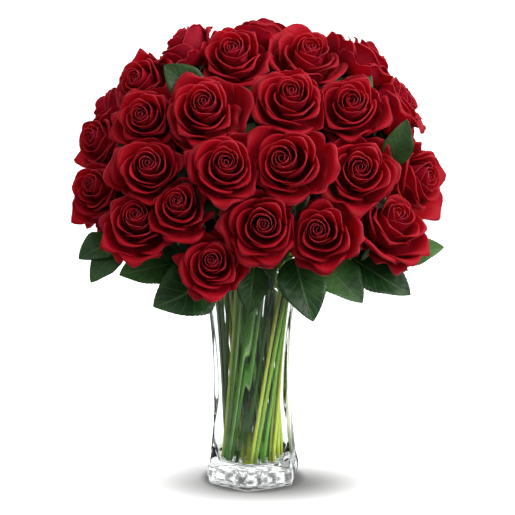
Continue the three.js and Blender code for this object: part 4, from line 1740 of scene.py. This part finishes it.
BRANCH_SLOTS = {"stem": 0, "sepal": 1, "leaf": 2}
LEAF_SLOTS = (BRANCH_SLOTS["leaf"], BRANCH_SLOTS["stem"])


@dataclass(frozen=True)
class LeafRing:
    """A ring of leaves: how far below the seat they start and end and how far out they reach, in metres."""

    count: int
    start_depth: float
    tip_depth: float
    reach: float


@dataclass(frozen=True)
class InnerLeaves:
    """Leaves that stand round each stem under its bloom and close the view between the heads.

    Lengths are in metres, but for a leaf's width, which is in millimetres.
    """

    petiole_radius: float = 0.001
    rings: tuple[LeafRing, ...] = (LeafRing(6, 0.018, 0.006, 0.051), LeafRing(4, 0.050, 0.036, 0.046))
    uneven: float = 0.1
    width: Pair = (30.0, 38.0)
    stalk: float = 0.010
    lowest: float = 0.288
    furthest: float = 0.93

    def leaf(self, base: Array, tip: Array, width: float, rose: Rose) -> Leaf:
        """One leaf, laid out less finely than those that are seen, and darkened all over with painted shade.

        Args:
            base: Where it starts, in metres.
            tip: Where it ends, in metres.
            width: Its greatest width, in millimetres.
            rose: The rose that it faces the way of.

        Returns:
            The leaf.
        """
        return Leaf(
            tuple(base / MM), tuple(tip / MM), width, facing=tuple(rose.axis), painted_shade=1.0,
            petiole_radius=self.petiole_radius, rows=19, columns=5, teeth=9, stalk_rings=6, stalk_sides=5,
        )

    def add_to(self, shell: Shell, rose: Rose, ring: LeafRing, rng: np.random.Generator) -> None:
        """Adds one ring of leaves, but none that would look out from under the dome.

        Args:
            shell: What they are added to.
            rose: The rose that they stand under.
            ring: Which ring.
            rng: A source of numbers.
        """
        start = rose.seat - rose.axis * ring.start_depth
        leaves = []
        for turn in (np.arange(ring.count) + rng.uniform(0, 1)) / ring.count * 2 * math.pi:
            radial = math.cos(turn) * rose.u + math.sin(turn) * rose.v
            out = ring.reach * rng.uniform(1 - self.uneven, 1 + self.uneven)
            tip = rose.seat - rose.axis * ring.tip_depth + radial * out
            width = rng.uniform(*self.width)
            if DOME.share(tip) <= self.furthest and tip[2] >= self.lowest:
                leaves.append(self.leaf(start + radial * self.stalk, tip, width, rose))
        for leaf in leaves:
            leaf.add_to(shell, start, LEAF_SLOTS, rng)


@dataclass
class Bunch:
    """One to three rose stems that lean together, with their calyxes, thorns and leaves.

    Lengths are in metres, but for a knot's, which is a share of the stem's. The aside is added to the
    direction that a stem's rings start from, so that an upright stem has one too.
    """

    number: int
    azimuth: float
    share: float
    roses: tuple[str, ...]
    leaves: dict[str, Leaf]
    stem_radius: float = 0.0027
    stem_sides: int = 14
    foot_share: float = 0.86
    top_swell: float = 0.12
    swell_band: Pair = (0.1, 0.5)
    knots: int = 4
    knot_range: Pair = (0.1, 0.9)
    knot_length: float = 0.012
    knot_swell: float = 0.16
    aside: Triple = (0.02, 0.0, 0.0)
    petiole_start: float = 0.014
    calyx: Calyx = Calyx()
    thorns: Thorns = Thorns()
    inner_leaves: InnerLeaves = InnerLeaves()

    def leans(self) -> list[float]:
        """The azimuths that the stems stand to.

        Returns:
            One for each stem, evenly round the bunch, the first towards its own rose.
        """
        seats = np.array([ROSES[name].seat for name in self.roses])
        first = seats[0] - seats.mean(axis=0)
        azimuth = math.degrees(math.atan2(first[0], -first[1]))
        return [azimuth + 360 * member / len(self.roses) for member in range(len(self.roses))]

    def stem(self, name: str, lean: float, shell: Shell, rng: np.random.Generator) -> None:
        """Adds one rose's stem with its calyx, its thorns and its inner leaves.

        The stem is a tube whose radius grows a little on the way, with a bell curve added for each knot.

        Args:
            name: The rose's name.
            lean: The azimuth that the stem stands to in the bunch.
            shell: What it is added to.
            rng: A source of numbers.
        """
        rose = ROSES[name]
        ends = RUN.in_vase(self.azimuth, self.share, lean, len(self.roses))
        path = RUN.path(ends, rose.seat - rose.axis * self.calyx.neck, rose.axis, RUN.climb)
        share = np.linspace(0.0, 1.0, len(path))
        off = (share[:, None] - rng.uniform(*self.knot_range, self.knots)) / self.knot_length
        knots = np.exp(-(off**2)).sum(axis=1)
        swell = self.top_swell * smooth_step(share, *self.swell_band)
        radii = self.stem_radius * (self.foot_share + swell + self.knot_swell * knots)
        beside = unit(np.cross(unit(path[-1] - path[0]), UP) + self.aside)
        around = np.arange(self.stem_sides) / self.stem_sides * 2 - 1
        tone = rng.uniform(0, 1)
        rings = rings_along(path, radii, self.stem_sides, beside)
        shell.tube(rings, slot=BRANCH_SLOTS["stem"], across=around[None], along=share[:, None], tone=tone)
        self.calyx.add_to(shell, rose, float(radii[-1]), BRANCH_SLOTS["sepal"], rng)
        self.thorns.add_to(shell, path, self.stem_radius, BRANCH_SLOTS["stem"], rng)
        self.inner_leaves.add_to(shell, rose, self.inner_leaves.rings[0], rng)

    def build(self, finishes: Finishes) -> None:
        """Makes the bunch in place of its node.

        Args:
            finishes: The finishes to dress it in.
        """
        rng = np.random.default_rng([SEED, BUNCH_SEED + self.number])
        shell = Shell()
        for name, lean in zip(self.roses, self.leans()):
            self.stem(name, lean, shell, rng)
            if name in self.leaves:
                start = ROSES[name].seat - ROSES[name].axis * self.petiole_start
                self.leaves[name].add_to(shell, start, LEAF_SLOTS, rng)
        for name in self.roses:
            self.inner_leaves.add_to(shell, ROSES[name], self.inner_leaves.rings[1], rng)
        made = shell.make(f"branch_{self.number:02d}", [finishes.stem, finishes.sepal, finishes.leaf])
        tie_to_frame(made, f"stems_{self.number:02d}")


@dataclass
class Spray:
    """A stem of foliage that bends over the rim and ends in two or three collar leaves.

    Its end is in millimetres in the frame and its radius in metres.
    """

    number: int
    azimuth: float
    end: Triple
    leaves: tuple[Leaf, ...]
    share: float = 0.9
    radius: float = 0.0022
    taper: Pair = (1.1, 0.4)
    sides: int = 12
    leaf_point: int = -2

    def build(self, finishes: Finishes) -> None:
        """Makes the spray in place of its node: a tapering stem, and leaves from its last point but one.

        Args:
            finishes: The finishes to dress it in.
        """
        rng = np.random.default_rng([SEED, SPRAY_SEED + self.number])
        shell = Shell()
        end = np.array(self.end) * MM
        outward = unit(end * [1, 1, 0])
        path = RUN.path(RUN.in_vase(self.azimuth, self.share, 0.0, 1), end, outward, RUN.spray_climb)
        share = np.linspace(0.0, 1.0, len(path))
        radii = self.radius * (self.taper[0] - self.taper[1] * share)
        rings = rings_along(path, radii, self.sides, np.cross(outward, UP))
        shell.tube(rings, slot=BRANCH_SLOTS["stem"], along=share[:, None], tone=rng.uniform(0, 1))
        for leaf in self.leaves:
            leaf.add_to(shell, path[self.leaf_point], LEAF_SLOTS, rng)
        made = shell.make(f"collar_{self.number}", [finishes.stem, finishes.sepal, finishes.leaf])
        tie_to_frame(made, f"spray_{self.number}")


STEM_LEAVES = {
    "high_left": Leaf((-54, -70, 444), (-95, -67, 481), 40, painted_shade=0.74),
    "high_far_right": Leaf((114, -42, 440), (126, -36, 474), 20, painted_shade=0.4),
    "mid_right": Leaf((146, -70, 372), (165, -80, 424), 34, painted_shade=0.7),
    "mid_left": Leaf((-18, -96, 384), (2, -102, 423), 32),
    "high_front_left": Leaf((-24, -66, 430), (4, -70, 456), 28),
    "low_front": Leaf((26, -108, 328), (50, -114, 358), 26),
    "low_left": Leaf((-52, -104, 328), (-20, -112, 344), 28),
    "low_far_left": Leaf((-70, -70, 268), (-106, -84, 300), 34, painted_shade=0.3),
    "low_right": Leaf((10, -80, 262), (40, -104, 288), 30, painted_shade=0.3),
    "back_middle": Leaf((4, 72, 350), (16, 92, 398), 38),
    "back_left": Leaf((-62, 60, 350), (-60, 70, 390), 34),
    "back_high_middle": Leaf((54, 36, 440), (62, 14, 468), 32),
    "back_high_left": Leaf((-36, 44, 436), (-46, 20, 468), 32),
}

# Each bunch is the azimuth and share of the rim's circle at which it leaves the vase, and the roses that it
# carries.
BUNCHES = (
    (-145, 0.9, ("back_left", "side_left_low", "back_far_left")),
    (-116, 0.9, ("side_left_high", "side_left")),
    (-64, 0.9, ("low_far_left", "mid_far_left")),
    (-13, 0.9, ("low_left", "lowest", "mid_left")),
    (13, 0.9, ("low_front", "mid_front")),
    (64, 0.9, ("low_right", "mid_right", "low_far_right")),
    (115, 0.9, ("side_right", "side_right_back", "back_far_right")),
    (167, 0.9, ("back_right", "back_middle")),
    (-154, 0.45, ("back_high_left", "back_high_far_left")),
    (-103, 0.45, ("high_left_back", "high_far_left")),
    (-51, 0.45, ("high_left", "high_front_left")),
    (0, 0.45, ("crown_front",)),
    (51, 0.45, ("high_front_right", "high_right")),
    (103, 0.45, ("high_far_right", "crown_back")),
    (154, 0.45, ("back_high_right", "back_high_middle")),
    (0, 0, ("top", "crown_left", "crown_right")),
)

SPRAYS = (
    Spray(1, -90, (-92, -26, 272), (
        Leaf((-150, -58, 289), (-189, -80, 272), 40, bow=-0.05),
        Leaf((-143, -74, 279), (-175, -95, 249), 34),
    )),
    Spray(2, -39, (-48, -60, 266), (
        Leaf((-88, -76, 266), (-143, -108, 260), 50, bow=-0.06),
        Leaf((-51, -85, 259), (-106, -125, 229), 66, bow=-0.12, facing=(-0.2, -1.0, 0.2)),
    )),
    Spray(3, 38, (38, -66, 268), (
        Leaf((2, -88, 266), (-4, -112, 219), 36),
        Leaf((46, -93, 276), (64, -135, 215), 54, bow=0.04),
        Leaf((78, -83, 270), (117, -120, 232), 50, bow=0.07),
    )),
    Spray(4, 90, (88, -40, 268), (
        Leaf((108, -68, 271), (170, -98, 236), 54, bow=0.07),
        Leaf((156, -48, 266), (209, -62, 282), 36),
    )),
    Spray(5, 141, (68, 50, 268), (
        Leaf((118, 24, 264), (178, 36, 236), 46),
        Leaf((92, 66, 266), (142, 104, 236), 46),
        Leaf((48, 78, 264), (66, 132, 226), 46),
    )),
    Spray(6, -167, (-46, 66, 268), (
        Leaf((-4, 82, 264), (-8, 138, 226), 46),
        Leaf((-60, 84, 266), (-92, 132, 234), 46),
        Leaf((-104, 58, 268), (-160, 82, 240), 48),
    )),
)


# The vase and its water


@dataclass(frozen=True)
class Vase:
    """Pressed glass with six flared sides, soft corners and a thick foot, and the water in it.

    Lengths are in millimetres. A profile is pairs of a height and the radius to the corners there. Between
    the walls and the hollow's floor runs the cup, a quarter of an ellipse.
    """

    turn: float = -7.2
    facets: int = 6
    softness: float = 34.0
    sides: int = 144
    outer: tuple[Pair, ...] = (
        (0.0, 53.5), (3.0, 55.5), (32.0, 53.4), (70.0, 49.9), (110.0, 49.0), (160.0, 50.6), (205.0, 55.5),
        (235.0, 61.0), (254.0, 66.0),
    )
    inner: tuple[Pair, ...] = (
        (24.0, 36.0), (30.0, 40.0), (110.0, 40.0), (160.0, 43.0), (205.0, 49.5), (235.0, 56.0),
        (254.0, 61.0),
    )
    underside: tuple[float, ...] = (0.5, 25.0, 50.0)
    bevel_radius: float = 54.1
    bevel_reach: float = 1.4
    bevel_height: float = 1.5
    bevel_points: int = 5
    wall_start: float = 3.0
    outer_rings: int = 64
    rim_drop: float = 1.6
    rim_points: int = 11
    inner_rings: int = 60
    cup_radius: float = 36.0
    cup_reach: float = 4.0
    cup_top: float = 30.0
    cup_depth: float = 6.0
    cup_points: int = 7
    hollow_floor: tuple[float, ...] = (0.5, 18.0)
    water_level: float = 233.0
    water_rings: int = 44
    water_sink: float = 0.12
    climb: tuple[Pair, ...] = ((0.6, 0.7), (1.8, 1.2), (4.0, 1.45))
    water_drop: float = 1.5
    water_top: tuple[float, ...] = (20.0, 0.5)

    def ring(self, radius: Array, height: Array) -> Array:
        """Level hexagons with soft corners.

        The reach to each of the six flat sides is summed as a high power, so the distance from the middle
        is the apothem over that sum's root, and the corners come out round.

        Args:
            radius: To the corners, in millimetres.
            height: In millimetres.

        Returns:
            Rings by sides by three, in metres.
        """
        facet = 360.0 / self.facets
        angle = np.arange(self.sides) / self.sides * 360.0 + self.turn
        middles = self.turn + facet / 2 + facet * np.arange(self.facets)
        facing = np.cos(np.radians(angle[:, None] - middles))
        norm = (np.maximum(facing, 0.0) ** self.softness).sum(axis=1) ** (1 / self.softness)
        reach = radius[:, None] * math.cos(math.pi / self.facets) / norm
        points = reach[..., None] * direction(angle)
        points[..., 2] = height[:, None]
        return points * MM

    def wall(self, profile: tuple[Pair, ...], heights: Array) -> Array:
        """The radius of a profile at given heights, run smoothly."""
        z, r = zip(*profile)
        return smooth_profile(z, r, heights)

    def cup(self, angle: Array) -> tuple[Array, Array]:
        """The radius and the height of the cup at angles from its top to the floor."""
        radius = self.cup_radius + self.cup_reach * np.cos(angle)
        return radius, self.cup_top - self.cup_depth * np.sin(angle)

    def glass(self, finishes: Finishes) -> None:
        """Makes the vase in place of its node.

        The profile goes out under the foot, round a quarter wave of a bevel, up the outside, over half a
        circle of a rim, and down the hollow to the cup and its floor.

        Args:
            finishes: The finishes to dress it in.
        """
        (height, top_out), top_in = self.outer[-1], self.inner[-1][1]
        shoulder = height - self.rim_drop
        bevel = np.linspace(0.0, 1.0, self.bevel_points)[:-1] * math.pi / 2
        rise = np.linspace(self.wall_start, shoulder, self.outer_rings)
        over = np.linspace(0.0, math.pi, self.rim_points)[1:-1]
        fall = np.linspace(shoulder, self.cup_top, self.inner_rings)
        cup_radius, cup_height = self.cup(np.linspace(0.0, math.pi / 2, self.cup_points)[1:])
        radii = [
            self.underside,
            self.bevel_radius + self.bevel_reach * np.sin(bevel),
            self.wall(self.outer, rise),
            (top_out + top_in) / 2 + (top_out - top_in) / 2 * np.cos(over),
            self.wall(self.inner, fall),
            cup_radius,
            self.hollow_floor[::-1],
        ]
        heights = [
            np.zeros(len(self.underside)),
            self.bevel_height * (1 - np.cos(bevel)),
            rise,
            shoulder + self.rim_drop * np.sin(over),
            fall,
            cup_height,
            np.full(len(self.hollow_floor), self.cup_top - self.cup_depth),
        ]
        shell = Shell()
        shell.tube(self.ring(np.concatenate(radii), np.concatenate(heights)))
        tie_to_frame(shell.make("glass_vase", [finishes.glass]), "vase")

    def water(self, finishes: Finishes) -> None:
        """Makes the water in place of its node.

        It fills the hollow up to its level, sunk a hair into the glass all round so that no air shows
        between the two. At the wall it climbs: pairs are how far in from the wall and how far below the
        highest level.

        Args:
            finishes: The finishes to dress it in.
        """
        sink = self.water_sink
        rise = np.linspace(self.cup_top, self.water_level, self.water_rings)
        cup_radius, cup_height = self.cup(np.linspace(math.pi / 2, 0.0, self.cup_points)[:-1])
        wall = self.wall(self.inner, rise) + sink
        inset, drop = np.array(self.climb).T
        radii = [self.hollow_floor, cup_radius + sink, wall, wall[-1] - inset, self.water_top]
        heights = [
            np.full(len(self.hollow_floor), self.cup_top - self.cup_depth - sink),
            cup_height - sink,
            rise,
            self.water_level - drop,
            np.full(len(self.water_top), self.water_level - self.water_drop),
        ]
        shell = Shell()
        shell.tube(self.ring(np.concatenate(radii), np.concatenate(heights)))
        tie_to_frame(shell.make("vase_water", [finishes.water]), "water")


# The studio


@dataclass(frozen=True)
class SoftBox:
    """A lamp: its place and size in metres, its power in watts, its colour, and if the glass shows it."""

    place: Triple
    size: Pair
    power: float
    colour: Triple
    mirrored: bool


class Lamp(Enum):
    """The studio's lamps."""

    OVERHEAD = SoftBox((0.95, -0.4, 1.55), (1.4, 1.2), 16.4, (1.0, 0.985, 0.97), True)
    FRONT = SoftBox((1.5, -1.3, 1.06), (0.9, 0.9), 16.0, (1.0, 0.98, 0.96), True)
    LEFT = SoftBox((-1.5, -0.9, 0.7), (1.0, 1.2), 3.2, (0.98, 0.98, 1.0), False)


@dataclass(frozen=True)
class Studio:
    """The camera, the lamps, the pale surround and the floor, in metres and degrees.

    What is seen directly has the brightness seen. To rays that glass mirrors, the surround has the
    brightness fill behind, and dark in front with the sky above. To rays that glass bends it is as bright
    as it looks behind, and brighter by side in front. Scattered rays get the brightness soft more, with
    lean more from the right and less from the left.
    """

    camera_place: Triple = (0.005, -2.0, 0.640)
    camera_pitch: float = 79.2
    focal_pixels: float = 1802.0
    image_pixels: float = 515.0
    sensor: float = 36.0
    clip_end: float = 60.0
    aim: Triple = (0.0, 0.0, 0.3)
    floor_half: float = 14.0
    fill: float = 0.6
    dark: float = 0.12
    sky: float = 0.3
    soft: float = 0.74
    lean: float = 0.6
    side: float = 0.36
    seen: float = 1.06
    turn_dark: Pair = (0.2, 0.6)
    sky_band: Pair = (0.35, 0.8)

    def camera(self) -> None:
        """Sets the camera as the photo's: level, far off and looking down a little."""
        data = bpy.data.cameras.new("camera")
        data.sensor_width = self.sensor
        data.lens = self.focal_pixels / self.image_pixels * self.sensor
        data.clip_end = self.clip_end
        made = placed("camera", data)
        made.location = self.camera_place
        made.rotation_euler = (math.radians(self.camera_pitch), 0.0, 0.0)
        bpy.context.scene.camera = made

    def lamps(self) -> None:
        """Hangs each soft box, aimed at the middle of the arrangement."""
        for lamp in Lamp:
            box, name = lamp.value, lamp.name.lower()
            data = bpy.data.lights.new(name, "AREA")
            data.shape = "RECTANGLE"
            data.size, data.size_y = box.size
            data.energy = box.power
            data.color = box.colour
            made = placed(name, data)
            made.location = box.place
            made.visible_glossy = made.visible_transmission = box.mirrored
            away = Vector(box.place) - Vector(self.aim)
            made.rotation_euler = away.to_track_quat("Z", "Y").to_euler()

    def surround(self) -> None:
        """Makes the surround: white where it is seen, and otherwise bright behind the arrangement."""
        world = bpy.data.worlds.new("surround")
        bpy.context.scene.world = world
        n = Nodes(world)
        way = n.add("ShaderNodeTexCoord", {}, {}, "Generated")
        right = n.axis(way, "X")
        behind = n.axis(way, "Y").step(*self.turn_dark)
        above = n.axis(way, "Z").step(*self.sky_band)
        seen, bent, scattered = n.ray("Camera"), n.ray("Transmission"), n.ray("Diffuse")
        light = self.dark + behind * (self.fill - self.dark) + above * self.sky
        light = light + bent * behind * (self.seen - self.fill) + bent * (1 - behind) * self.side
        light = light + scattered * (right * self.lean + self.soft)
        strength = light * (1 - seen) + seen * self.seen
        shine = n.add("ShaderNodeBackground", {}, {"Color": grey(1.0), "Strength": strength})
        n.add_output("ShaderNodeOutputWorld", shine)

    def floor(self) -> None:
        """Lays the floor."""
        half = self.floor_half
        corners = np.array([(-half, -half, 0), (half, -half, 0), (half, half, 0), (-half, half, 0)], float)
        mesh = bpy.data.meshes.new("floor")
        mesh.from_pydata(corners.tolist(), [], [(0, 1, 2, 3)])
        mesh.materials.append(FloorFinish().material())
        made = placed("floor", mesh)

    def build(self) -> None:
        """Makes the studio."""
        bpy.context.scene.view_settings.view_transform = "Standard"
        self.camera()
        self.lamps()
        self.surround()
        self.floor()


def main() -> None:
    """Builds the arrangement piece by piece."""
    logging.basicConfig(level=logging.INFO, format="%(name)s: %(message)s")
    Studio().build()
    finishes = Finishes()
    for number, (name, rose) in enumerate(ROSES.items()):
        Bloom(name, rose, number).build(finishes)
    for number, (azimuth, share, names) in enumerate(BUNCHES, start=1):
        leaves = {name: STEM_LEAVES[name] for name in names if name in STEM_LEAVES}
        Bunch(number, azimuth, share, names, leaves).build(finishes)
    for spray in SPRAYS:
        spray.build(finishes)
    vase = Vase()
    vase.glass(finishes)
    vase.water(finishes)


if __name__ == "__main__":
    main()
